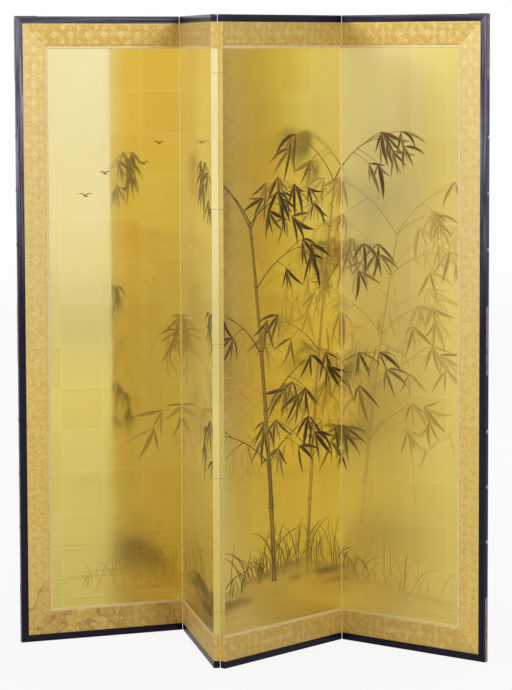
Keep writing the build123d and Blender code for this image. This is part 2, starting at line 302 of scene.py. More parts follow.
@dataclass
class Shape:
    """Points, faces and what is stored on each point, before it becomes a piece."""

    points: Grid
    faces: List[Grid]
    maps: Grids = field(default_factory=dict)
    values: Grids = field(default_factory=dict)

    @classmethod
    def of(cls, points: Grid, faces: List[Grid], maps: Grids, values: Grids) -> "Shape":
        """Makes a shape from grids, each of which is put in rows.

        Args:
            points: places.
            faces: groups of faces, as rows of point indices.
            maps: UV maps on the points.
            values: numbers on the points.

        Returns:
            The shape, with its faces pointing out.
        """
        return cls(
            points.reshape(-1, 3),
            faces,
            {key: grid.reshape(-1, 2) for key, grid in maps.items()},
            {key: grid.reshape(-1) for key, grid in values.items()},
        ).outward()

    def outward(self) -> "Shape":
        """Turns the faces if they point inwards.

        Returns:
            The shape itself.
        """
        if signed_volume(self.points, self.faces) < 0:
            self.faces = [faces[:, ::-1] for faces in self.faces]
        return self

    def piece(self, name: str, smooth_angle: float = 40.0) -> bpy.types.Object:
        """Makes the object.

        Args:
            name: the piece's name.
            smooth_angle: edges sharper than this, in degrees, stay sharp.

        Returns:
            The object, with its place in its mesh.
        """
        mesh = bpy.data.meshes.new(name)
        corners = np.concatenate([faces.ravel() for faces in self.faces]).astype(np.int32)
        counts = np.concatenate([np.full(len(f), f.shape[1]) for f in self.faces])
        starts = np.concatenate([[0], np.cumsum(counts)[:-1]]).astype(np.int32)
        mesh.vertices.add(len(self.points))
        mesh.vertices.foreach_set("co", self.points.astype(np.float32).ravel())
        mesh.loops.add(len(corners))
        mesh.loops.foreach_set("vertex_index", corners)
        mesh.polygons.add(len(counts))
        mesh.polygons.foreach_set("loop_start", starts)
        for key, places in self.maps.items():
            layer = mesh.uv_layers.new(name=key)
            layer.data.foreach_set("uv", places[corners].astype(np.float32).ravel())
        for key, numbers in self.values.items():
            layer = mesh.attributes.new(key, "FLOAT", "POINT")
            layer.data.foreach_set("value", numbers.astype(np.float32).ravel())
        mesh.update(calc_edges=True)
        mesh.validate()
        mesh.polygons.foreach_set("use_smooth", np.ones(len(mesh.polygons), bool))
        mesh.set_sharp_from_angle(angle=math.radians(smooth_angle))
        made = bpy.data.objects.new(name, mesh)
        bpy.context.scene.collection.objects.link(made)
        return made


def joined(shapes: Sequence[Shape]) -> Shape:
    """Makes several shapes one.

    Args:
        shapes: shapes with the same maps and values.

    Returns:
        One shape with all their points and faces.
    """
    groups: Dict[int, List[Grid]] = {}
    first = 0
    for shape in shapes:
        for faces in shape.faces:
            groups.setdefault(faces.shape[1], []).append(faces + first)
        first += len(shape.points)
    return Shape(
        np.concatenate([s.points for s in shapes]),
        [np.concatenate(faces) for faces in groups.values()],
        {key: np.concatenate([s.maps[key] for s in shapes]) for key in shapes[0].maps},
        {key: np.concatenate([s.values[key] for s in shapes]) for key in shapes[0].values},
    )


def backed_sheet(front: Grid, back: Grid, maps: Grids, values: Grids) -> Shape:
    """A sheet whose front is a grid, whose rim joins two loops and whose back is a fan of triangles.

    Args:
        front: places of the front's points, rows by columns by 3.
        back: places of the back's points, of which only the outer ones are used.
        maps: UV maps on the front's points.
        values: numbers on the front's points.

    Returns:
        The closed sheet.
    """
    loop = edge_loop(*front.shape[:2])
    points, behind = front.reshape(-1, 3), back.reshape(-1, 3)[loop]
    count, size = len(points), len(loop)
    ring = count + np.arange(size)
    after = np.roll(np.arange(size), -1)
    rim = np.stack([loop, ring, ring[after], loop[after]], axis=1)
    fan = np.stack([ring, np.full(size, count + size), ring[after]], axis=1)
    source = np.concatenate([np.arange(count), loop, loop[:1]])
    return Shape.of(
        np.concatenate([points, behind, behind.mean(0)[None]]),
        [np.concatenate([grid_faces(*front.shape[:2]), rim]), fan],
        {key: grid.reshape(-1, 2)[source] for key, grid in maps.items()},
        {key: grid.reshape(-1)[source] for key, grid in values.items()},
    )


def loft(rings: Grid, maps: Grids, values: Grids) -> Shape:
    """A closed profile carried along a path, with its ends filled.

    Args:
        rings: places, rings by profile points by 3.
        maps: UV maps on the same points.
        values: numbers on the same points.

    Returns:
        The closed shape.
    """
    count, size = rings.shape[:2]
    return Shape.of(rings, [grid_faces(count, size, closed=True), end_caps(count, size)], maps, values)


def ease(x: Grid) -> Grid:
    """A smooth step from 0 to 1."""
    x = np.clip(x, 0.0, 1.0)
    return x * x * (3 - 2 * x)


def between(x: Grid, low: float, high: float) -> Grid:
    """A smooth step from 0 where x is low to 1 where it is high."""
    return ease((x - low) / (high - low))


def bent(start: Grid, middle: Grid, end: Grid, t: Union[Grid, float]) -> Grid:
    """Places on a curve that the middle pulls aside: a mean of start, middle and end, weighted by t."""
    return (1 - t) ** 2 * start + 2 * t * (1 - t) * middle + t * t * end


def grain(x: Grid, y: Grid, seed: int, octaves: int = 1) -> Grid:
    """Value noise from 0 to 1: random numbers on whole places, blended smoothly between them.

    Args:
        x: first coordinate, in cells.
        y: second coordinate, in cells.
        seed: picks the numbers.
        octaves: layers, each twice as fine and half as strong.

    Returns:
        The noise at each point.
    """
    side = 256
    table = np.random.default_rng(seed).random((side, side))
    total, weight = np.zeros(np.broadcast(x, y).shape), 0.0
    for octave in range(octaves):
        u, v = x * 2**octave, y * 2**octave
        i, j = np.floor(u).astype(int), np.floor(v).astype(int)
        s, t = ease(u - i), ease(v - j)
        i, j, right, above = i % side, j % side, (i + 1) % side, (j + 1) % side
        low = table[i, j] * (1 - s) + table[right, j] * s
        high = table[i, above] * (1 - s) + table[right, above] * s
        total += (low * (1 - t) + high * t) / 2**octave
        weight += 1 / 2**octave
    return total / weight


# ---- Finishes ----


@dataclass(frozen=True)
class Finish:
    """A finish, known by its material's name."""

    name: str


@dataclass(frozen=True)
class GoldLeaf(Finish):
    """Squares of gold leaf laid with narrow laps, and ink painted over them, in washes or in strokes."""

    strokes: bool = False
    pitch: float = 115 * MM
    lap: float = 4 * MM
    gold: Rgb = (0.905, 0.735, 0.195)
    deep_gold: Rgb = (0.865, 0.668, 0.140)
    lap_gold: Rgb = (0.920, 0.775, 0.250)
    # The pale gold of the painted highlight, which stands in for the lamps' reflection in the leaf.
    highlight_gold: Rgb = (0.93, 0.85, 0.48)
    ink: Rgb = (0.024, 0.013, 0.007)
    wash: Rgb = (0.42, 0.240, 0.040)
    metallic: float = 0.97
    roughness: float = 0.042
    dulled: float = 0.26
    drift: float = 0.03
    drift_scale: float = 9.0
    cloud_scale: float = 5.0
    crease_scale: float = 34.0
    film_scale: float = 150.0
    speck_scale: float = 420.0

    def laps(self, u: Field, v: Field) -> Field:
        """1 where a square laps over the one before it or below it, from places in squares."""
        soft = [share * (self.lap / self.pitch) for share in (1.15, 0.85)]
        return u.fract().rise(*soft).most(v.fract().rise(*soft))

    def inked(self, graph: Graph, place: Field) -> Field:
        """The mesh's ink value, uneven as brush hairs leave it along a stroke, or as a wash dries.

        Args:
            graph: the material's tree.
            place: the leaf's own place.

        Returns:
            The ink, from 0 to 1.
        """
        ink = graph.attribute("ink")
        if self.strokes:
            along = graph.turned(graph.uv("stroke"), scale=(9.0, 26.0, 1.0))
            return (ink * (0.72 + graph.noise(along, 1.0, 3.0) * 0.54)).least(1.0)
        return (ink * (0.82 + graph.noise(place, 46.0, 3.0, 0.4) * 0.36)).least(1.0)

    def material(self) -> Material:
        """Gold leaf with as much ink as the mesh's ink value says.

        Each square has a tone and a gloss by chance. A painted highlight whitens the leaf where it would
        reflect the lamps, and painted shade darkens it. Ink is a brown wash where it is faint and nearly
        black where it is strong, and it takes the shine away.

        Returns:
            The material.
        """
        graph = Graph(self.name)
        place = graph.uv("panel")
        x, z, _ = graph.axes(place)
        drift = (graph.noise(place, self.drift_scale) - 0.5) * self.drift
        u, v = x / self.pitch + drift, z / self.pitch + drift
        tone, grade = (graph.chance(graph.point(u.floor(), v.floor(), pick)) for pick in (3.0, 8.0))
        lap = self.laps(u, v)
        cloud = graph.noise(place, self.cloud_scale, 3.0)
        speck = graph.noise(place, self.speck_scale)
        crease = (graph.noise(place, self.crease_scale, 4.0, 0.6) - 0.5).size().rise(0.012, 0.0)
        # Painted light: one mesh value whitens the leaf as a painted highlight, the other darkens it as
        # painted shade.
        bloom, tarnish = graph.attribute("bloom"), graph.attribute("tarnish")
        colour = graph.mix(tone * 0.75 + cloud * 0.35, self.gold, self.deep_gold)
        colour = graph.mix(lap * 0.55, colour, self.lap_gold)
        # Painted highlight: the leaf turns pale gold where the lamps' reflection would fall.
        colour = graph.mix(bloom * 0.85, colour, self.highlight_gold)
        # Painted shade: the leaf darkens by the shade value.
        colour = graph.shaded(colour, 0.965 + speck * 0.05 + grade * 0.02 - crease * 0.03 - tarnish)
        ink = self.inked(graph, place)
        faint, dark = ink.rise(0.0, 0.6), ink.rise(0.30, 0.92)
        colour = graph.mix(faint * 0.75, colour, self.wash)
        colour = graph.mix(dark * 0.95, colour, self.ink)
        height = graph.noise(place, self.film_scale, 3.0) * 0.5 + lap * 0.5
        rough = self.roughness + graph.attribute("dull") * self.dulled + grade * 0.03
        # The painted highlight also takes some of the metallic share away.
        return graph.finish(
            Base_Color=colour,
            Metallic=(self.metallic - bloom * 0.27 - faint * 0.20 - dark * 0.70).most(0.0),
            Roughness=rough + speck * 0.02 + faint * 0.14 + dark * 0.20,
            Coat_Weight=0.6 - dark * 0.50,
            Coat_Roughness=0.36,
            Specular_IOR_Level=0.2,
            Normal=graph.bump(height, 0.02 * MM, 0.4),
        )


@dataclass(frozen=True)
class Brocade(Finish):
    """Silk woven with gold thread: pale blossoms and small buds on orange scrolls, over a gold ground."""

    ground: Rgb = (0.665, 0.480, 0.118)
    # Painted sheen: the ground pales on the side strips and towards the top, as the cloth would catch the
    # light.
    lit_ground: Rgb = (0.835, 0.600, 0.150)
    sheen_ground: Rgb = (0.765, 0.610, 0.230)
    scroll: Rgb = (0.620, 0.345, 0.070)
    blossom: Rgb = (0.80, 0.66, 0.30)
    stain: Rgb = (0.36, 0.19, 0.05)
    step: float = 47 * MM
    width: float = 62 * MM
    thread: float = 0.9 * MM
    blossom_radius: float = 8.8 * MM
    bud_radius: float = 6.2 * MM
    bud_line: float = 0.185
    curl_radius: float = 4.6 * MM
    petals: int = 5

    def flower(self, u: Field, v: Field, shift: float, line: float, radius: float) -> Tuple[Field, Field]:
        """One row of flowers: each is a disc whose radius swells once for each petal round its heart.

        Args:
            u: place along the strip, in steps.
            v: place across it, in metres.
            shift: how far the row is moved along, in steps.
            line: the row's place across the strip, as a share of its width.
            radius: from a flower's heart to its petals' tips.

        Returns:
            The flowers, and the rings round their hearts.
        """
        a = ((u + shift).fract() - 0.5) * self.step
        b = v - line * self.width
        reach = a.reach(b)
        angle = b.angle(a) + (u + shift).floor() * 1.9
        petal = (angle * (self.petals / 2)).cosine().size() * (0.26 * radius) + 0.74 * radius
        ring = (reach - radius * 0.30).size().rise(0.9 * MM, 0.4 * MM)
        return (petal - reach).rise(-0.3 * MM, 0.4 * MM), ring

    def scrolls(self, u: Field, v: Field) -> Field:
        """Stems: two waves that cross at each flower, curls beside every crossing, and a fine edge wave.

        Args:
            u: place along the strip, in steps.
            v: place across it, in metres.

        Returns:
            1 on the stems.
        """
        middle = v - 0.5 * self.width
        wave = (u * math.tau).sine() * (0.30 * self.width)
        lines = (middle - wave).size().least((middle + wave).size())
        a = ((u * 2.0).fract() - 0.5) * (self.step / 2)
        b = middle.size() - 0.17 * self.width
        curl = (a.reach(b) - self.curl_radius).size()
        fine = ((u * 6.0 * math.tau).sine() * 2.0 * MM + middle.size() - 0.40 * self.width).size()
        return lines.least(curl).least(fine).rise(1.25 * MM, 0.65 * MM)

    def woven(self, u: Field, v: Field) -> Tuple[Field, ...]:
        """The whole woven figure.

        Args:
            u: place along the strip, in steps.
            v: place across it, in metres.

        Returns:
            The flowers, their hearts' rings, and the stems together with those rings.
        """
        large, heart = self.flower(u, v, 0.0, 0.5, self.blossom_radius)
        upper, upper_heart = self.flower(u, v, 0.5, self.bud_line, self.bud_radius)
        lower, lower_heart = self.flower(u, v, 0.5, 1 - self.bud_line, self.bud_radius)
        hearts = (large * heart).most(upper * upper_heart).most(lower * lower_heart)
        return large.most(upper).most(lower), hearts, self.scrolls(u, v).most(hearts)

    def material(self) -> Material:
        """Brocade on a weave map. A painted sheen pales its ground and mutes its figure as the mesh's turned
        value rises to 1.

        Returns:
            The material.
        """
        graph = Graph(self.name)
        along = graph.uv("weave")
        length, v, _ = graph.axes(along)
        flowers, hearts, scroll = self.woven(length / self.step, v)
        twill = ((length * 0.5 + v) / self.thread * math.tau).sine() * 0.5 + 0.5
        weft = (length / self.thread * math.tau).sine() * 0.5 + 0.5
        wear = graph.noise(along, 26.0, 4.0)
        fleck = graph.noise(along, 210.0, 3.0) * 0.6 + graph.noise(along, 85.0) * 0.4
        patch = graph.noise(along, 58.0, 1.0).rise(0.50, 0.60)
        # The turned value carries painted sheen: it pales the ground and mutes the figure.
        turned = graph.attribute("turned")
        ground = graph.mix(turned.rise(0.0, 0.5), self.ground, self.lit_ground)
        ground = graph.mix(turned.rise(0.5, 1.0), ground, self.sheen_ground)
        colour = graph.mix(fleck.rise(0.44, 0.62) * (0.72 - turned * 0.34), ground, self.scroll)
        colour = graph.mix(patch * 0.40, colour, self.blossom)
        colour = graph.mix(scroll * (0.28 + wear * 0.45) * (1.0 - turned * 0.55), colour, self.scroll)
        petals = flowers * (1.0 - hearts)
        colour = graph.mix(petals * (wear * 1.05 - 0.17).most(0.08), colour, self.blossom)
        colour = graph.shaded(colour, 0.86 + wear * 0.15 + twill * 0.10)
        wet = graph.noise(graph.place(), 13.0, 4.0, 0.5)
        tide = (wet - 0.5).size().rise(0.026, 0.004) * 0.62 + wet.rise(0.49, 0.52) * 0.20
        colour = graph.mix(tide * graph.attribute("stained"), colour, self.stain)
        height = flowers * 0.5 + scroll * 0.2 + twill * 0.15 + weft * 0.15
        return graph.finish(
            Base_Color=colour,
            Metallic=0.45 + petals * 0.1,
            Roughness=0.50 - petals * 0.08 + fleck * 0.06,
            Sheen_Weight=0.06,
            Sheen_Roughness=0.4,
            Normal=graph.bump(height, 0.10 * MM, 0.6),
        )


@dataclass(frozen=True)
class InnerSilk(Finish):
    """A narrow pale strip with a fine woven repeat."""

    pale: Rgb = (0.80, 0.66, 0.36)
    figure: Rgb = (0.68, 0.49, 0.19)
    repeat: float = 7 * MM

    def material(self) -> Material:
        """The strip's silk, with a row of small lozenges along it.

        Returns:
            The material.
        """
        graph = Graph(self.name)
        along = graph.uv("weave")
        u, v, _ = graph.axes(along)
        across = (u / self.repeat).fract() - 0.5
        down = v / self.repeat - 0.5
        reach = across.size() + down.size()
        lozenge = reach.rise(0.42, 0.30) * reach.rise(0.10, 0.16)
        threads = graph.noise(graph.turned(along, scale=(1.0, 5.0, 1.0)), 700.0, 1.0)
        colour = graph.mix(lozenge * 0.6, self.pale, self.figure)
        return graph.finish(
            Base_Color=graph.shaded(colour, 0.92 + threads * 0.16),
            Metallic=0.35,
            Roughness=0.5,
            Sheen_Weight=0.2,
            Normal=graph.bump(threads, 0.05 * MM, 0.5),
        )


@dataclass(frozen=True)
class PrintedPaper(Finish):
    """Dark backing paper, printed with rings that overlap by a quarter, on a panel turned in the row."""

    turn: float
    paper: Rgb = (0.050, 0.085, 0.085)
    faded: Rgb = (0.085, 0.125, 0.12)
    print: Rgb = (0.19, 0.24, 0.21)
    ring: float = 46 * MM
    dot: float = 3 * MM

    def rings(self, u: Field, v: Field) -> Field:
        """A ring that fills each cell."""
        radius = (u.fract() - 0.5).reach(v.fract() - 0.5)
        return (radius - 0.5).size().rise(0.028, 0.012)

    def dots(self, u: Field, v: Field) -> Field:
        """A dot in the middle of each cell."""
        radius = (u.fract() - 0.5).reach(v.fract() - 0.5)
        return radius.rise(1.15 * self.dot / self.ring, 0.85 * self.dot / self.ring)

    def material(self) -> Material:
        """The paper, its print turned with its panel.

        Returns:
            The material.
        """
        graph = Graph(self.name)
        place = graph.turned(graph.place(), -self.turn)
        x, _, z = graph.axes(place)
        u, v = x / self.ring, z / self.ring
        pattern = self.rings(u, v).most(self.rings(u + 0.5, v + 0.5))
        dots = self.dots(u + 0.5, v).most(self.dots(u, v + 0.5))
        cloud = graph.noise(place, 4.0, 4.0)
        fibre = graph.noise(graph.turned(place, scale=(1.0, 1.0, 0.3)), 260.0, 3.0)
        worn = graph.noise(place, 60.0, 3.0).rise(0.3, 0.6)
        colour = graph.mix(cloud, self.paper, self.faded)
        colour = graph.mix(pattern.most(dots) * (0.35 + worn * 0.55), colour, self.print)
        colour = graph.shaded(colour, 0.9 + fibre * 0.2)
        return graph.finish(
            Base_Color=colour,
            Roughness=0.72 - pattern * 0.18,
            Normal=graph.bump(fibre, 0.05 * MM, 0.4),
        )


@dataclass(frozen=True)
class BlackLacquer(Finish):
    """Black lacquer with a violet cast, brushed along its length, lightened by painted sheen, its edges
    rubbed brown.
    """

    black: Rgb = (0.0075, 0.0050, 0.0200)
    brown: Rgb = (0.045, 0.020, 0.014)
    # The pale violet of the painted sheen, which stands in for lamp highlights on the lacquer.
    lacquer_sheen: Rgb = (0.330, 0.310, 0.420)
    sheen: Rgb = (0.82, 0.76, 1.0)
    settled: Rgb = (0.075, 0.070, 0.078)
    specks: Rgb = (0.5, 0.46, 0.5)
    roughness: float = 0.19

    def material(self) -> Material:
        """The lacquer: rubbed, pale with painted sheen, or dusty where the mesh's edge, faded or dusty value
        is high.

        Returns:
            The material.
        """
        graph = Graph(self.name)
        place = graph.place()
        brush = graph.turned(graph.uv("brush"), scale=(5.0, 230.0, 1.0))
        streak = graph.noise(brush, 1.0, 3.0, 0.4)
        cloud = graph.noise(place, 14.0, 4.0)
        chip = graph.noise(place, 120.0, 4.0)
        rubbed = (graph.attribute("edge") * (0.3 + chip * 1.2)).rise(0.62, 0.95)
        # Painted highlight: the faded value streaks the lacquer pale along its brushing.
        faded = graph.attribute("faded") * (streak.rise(0.42, 0.66) * 0.62 + cloud * 0.26)
        dusty = graph.attribute("dusty")
        specks = graph.noise(place, 900.0, 1.0).rise(0.68, 0.8)
        colour = graph.mix(rubbed * 0.7, self.black, self.brown)
        colour = graph.mix(dusty * (0.35 + cloud * 0.5), colour, self.settled)
        colour = graph.mix(specks * 0.02, colour, self.specks)
        colour = graph.mix(faded.least(1.0), colour, self.lacquer_sheen)
        wave = graph.noise(graph.turned(place, scale=(1.0, 1.0, 0.35)), 45.0, 2.0) * 0.7 + streak * 0.3
        return graph.finish(
            Base_Color=colour,
            Roughness=self.roughness + cloud * 0.10 + rubbed * 0.3 + dusty * 0.48,
            Specular_IOR_Level=0.27,
            Specular_Tint=self.sheen,
            Normal=graph.bump(wave, 0.10 * MM, 0.5),
        )


@dataclass(frozen=True)
class DarkMetal(Finish):
    """Patinated copper fittings, rubbed bright on what stands proud."""

    patina: Rgb = (0.070, 0.056, 0.050)
    rubbed: Rgb = (0.42, 0.36, 0.32)
    roughness: float = 0.38

    def material(self) -> Material:
        """The metal, rubbed where the mesh's proud value is high.

        Returns:
            The material.
        """
        graph = Graph(self.name)
        place = graph.place()
        proud = graph.attribute("proud")
        stain = graph.noise(place, 70.0, 5.0)
        pit = graph.noise(place, 600.0, 3.0)
        bright = (proud * 0.8 + stain * 0.5).rise(0.45, 1.0)
        colour = graph.mix(bright, self.patina, self.rubbed)
        return graph.finish(
            Base_Color=graph.shaded(colour, 0.8 + stain * 0.4),
            Metallic=0.95,
            Roughness=self.roughness + stain * 0.2 - bright * 0.1,
            Normal=graph.bump(pit, 0.06 * MM, 0.5),
        )


@dataclass(frozen=True)
class Cedar(Finish):
    """Planed cedar, its grain running upwards."""

    pale: Rgb = (0.62, 0.41, 0.24)
    dark: Rgb = (0.42, 0.23, 0.11)

    def material(self) -> Material:
        """Cedar with fine straight grain.

        Returns:
            The material.
        """
        graph = Graph(self.name)
        place = graph.place()
        grain_lines = graph.noise(graph.turned(place, scale=(1.0, 1.0, 0.04)), 160.0, 3.0, 0.3)
        pores = graph.noise(graph.turned(place, scale=(1.0, 1.0, 0.1)), 900.0, 2.0)
        colour = graph.mix(grain_lines.rise(0.35, 0.65), self.pale, self.dark)
        return graph.finish(
            Base_Color=graph.shaded(colour, 0.9 + pores * 0.2),
            Roughness=0.6 + pores * 0.15,
            Normal=graph.bump(pores, 0.08 * MM, 0.5),
        )


@dataclass(frozen=True)
class PlainPaper(Finish):
    """Pasted mulberry paper with long fibres."""

    paper: Rgb = (0.78, 0.71, 0.56)

    def material(self) -> Material:
        """Off-white paper.

        Returns:
            The material.
        """
        graph = Graph(self.name)
        place = graph.place()
        fibre = graph.noise(graph.turned(place, scale=(1.0, 1.0, 0.4)), 300.0, 4.0, 1.2)
        return graph.finish(
            Base_Color=graph.shaded(self.paper, 0.85 + fibre * 0.3),
            Roughness=0.85,
            Normal=graph.bump(fibre, 0.1 * MM, 0.5),
        )


@dataclass(frozen=True)
class IronNail(Finish):
    """Plain iron."""

    iron: Rgb = (0.20, 0.185, 0.175)
    rust: Rgb = (0.18, 0.07, 0.03)

    def material(self) -> Material:
        """Dull iron with a little rust.

        Returns:
            The material.
        """
        graph = Graph(self.name)
        rust = graph.noise(graph.place(), 500.0, 3.0).rise(0.5, 0.7)
        return graph.finish(
            Base_Color=graph.mix(rust, self.iron, self.rust),
            Metallic=0.9 - rust * 0.7,
            Roughness=0.45 + rust * 0.3,
        )


# ---- Where each panel stands ----


PANEL_COUNT = 4
FOLD_GAP = 2 * MM
UP = np.array([0.0, 0.0, 1.0])


@dataclass(frozen=True)
class Extent:
    """A node's lowest and highest places in its panel's own frame."""

    x: Tuple[float, float]
    out: Tuple[float, float]
    z: Tuple[float, float]

    @property
    def width(self) -> float:
        """Its size along the panel."""
        return self.x[1] - self.x[0]

    @property
    def depth(self) -> float:
        """Its size out of the panel."""
        return self.out[1] - self.out[0]

    @property
    def height(self) -> float:
        """Its size upwards."""
        return self.z[1] - self.z[0]

    def inside(self, x: Grid, z: Grid) -> Grid:
        """How far each place lies inside the nearest edge."""
        return np.minimum.reduce([x - self.x[0], self.x[1] - x, z - self.z[0], self.z[1] - z])


def node_points(node: str) -> Grid:
    """Reads the points of a CAD node.

    Args:
        node: its name.

    Returns:
        Its points in the row frame.
    """
    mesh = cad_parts[node].data
    points = np.empty(len(mesh.vertices) * 3, np.float32)
    mesh.vertices.foreach_get("co", points)
    return points.reshape(-1, 3).astype(float)


@dataclass
class PanelFrame:
    """A panel's own frame: x along it from its left end, out of its face, and up."""

    number: int
    along: Grid = field(init=False)
    front: Grid = field(init=False)
    origin: Grid = field(init=False)

    def __post_init__(self) -> None:
        """Reads the frame's directions and origin from the panel's CAD nodes."""
        sheets = node_points(self.node("paper_linings"))
        flat = sheets[:, :2] - sheets[:, :2].mean(0)
        _, _, ways = np.linalg.svd(flat, full_matrices=False)
        along = ways[0] * (1 if ways[0][0] > 0 else -1)
        self.along = np.array([along[0], along[1], 0.0])
        self.front = np.array([along[1], -along[0], 0.0])
        self.origin = np.zeros(3)
        top = self.measure("top_moulding")
        self.origin = self.along * top.x[0] + self.front * sum(top.out) / 2

    @property
    def body(self) -> str:
        """The CAD body that the panel's pieces ride on."""
        return f"panel_{self.number}"

    @property
    def first(self) -> bool:
        """Whether the panel is the screen's left end."""
        return self.number == 1

    @property
    def last(self) -> bool:
        """Whether the panel is the screen's right end."""
        return self.number == PANEL_COUNT

    @property
    def turn(self) -> float:
        """The angle of the panel's width in the row frame."""
        return math.atan2(self.along[1], self.along[0])

    def node(self, piece: str) -> str:
        """The CAD node of one of the panel's pieces."""
        return f"{self.body}_{piece}"

    def measure(self, piece: str) -> Extent:
        """Measures one of the panel's nodes.

        Args:
            piece: its name, without the panel's.

        Returns:
            Its extent in the panel's frame.
        """
        points = node_points(self.node(piece)) - self.origin
        spans = [points @ way for way in (self.along, self.front, UP)]
        return Extent(*[(float(s.min()), float(s.max())) for s in spans])

    def place(self, x: Grid, out: Grid, z: Grid) -> Grid:
        """Row-frame points from places in the panel's frame."""
        x, out, z = np.broadcast_arrays(x, out, z)
        return self.origin + x[..., None] * self.along + out[..., None] * self.front + z[..., None] * UP


# ---- The ink picture: bamboo in mist, drawn across all four panels ----


class Tone(Enum):
    """How much ink a brush carries."""

    MIST = 0.28
    PALE = 0.45
    MIDDLE = 0.72
    DARK = 1.0


@dataclass(frozen=True)
class Culm:
    """One bamboo stem, standing so many panels along the canvas; the rest is in metres.

    Half is half its width at its foot. It runs from low to high, where its tip nods to the right or, as -1,
    to the left.
    """

    foot: float
    lean: float
    half: float
    tone: Tone
    low: float
    high: float
    nod: int


@dataclass(frozen=True)
class Thicket:
    """Far leaves round a middle so many panels along the canvas, at a height and within a reach."""

    middle: float
    height: float
    reach: float
    leaves: int


@dataclass(frozen=True)
class Tuft:
    """Grass round a middle so many panels along the canvas, within a spread in metres."""

    middle: float
    spread: float
    blades: int
    tone: Tone


@dataclass(frozen=True)
class MistBand:
    """A level streak of wash: its edge's height, its depth and strength, and its two ends, in panels."""

    height: float
    depth: float
    strength: float
    low: float
    high: float


@dataclass
class Strokes:
    """Brush strokes as curves of three control points, in canvas metres.

    The canvas runs from the first panel's left end to the last panel's right end.
    """

    ends: List[Tuple[Numbers, Numbers, Numbers]] = field(default_factory=list)
    widths: List[Numbers] = field(default_factory=list)
    tones: List[Tuple[float, float]] = field(default_factory=list)

    def add(
        self, start: Numbers, middle: Numbers, end: Numbers, half_widths: Numbers,
        tone: float, hollow: float = 1.0,
    ) -> None:
        """Adds one stroke.

        Args:
            start: where the brush comes down.
            middle: the point that bends the stroke.
            end: where the brush lifts.
            half_widths: at the start, a third, two thirds and the end.
            tone: how much ink it leaves.
            hollow: the share of that ink in the middle of its width.
        """
        self.ends.append((start, middle, end))
        self.widths.append(half_widths)
        self.tones.append((min(tone, 1.0), hollow))


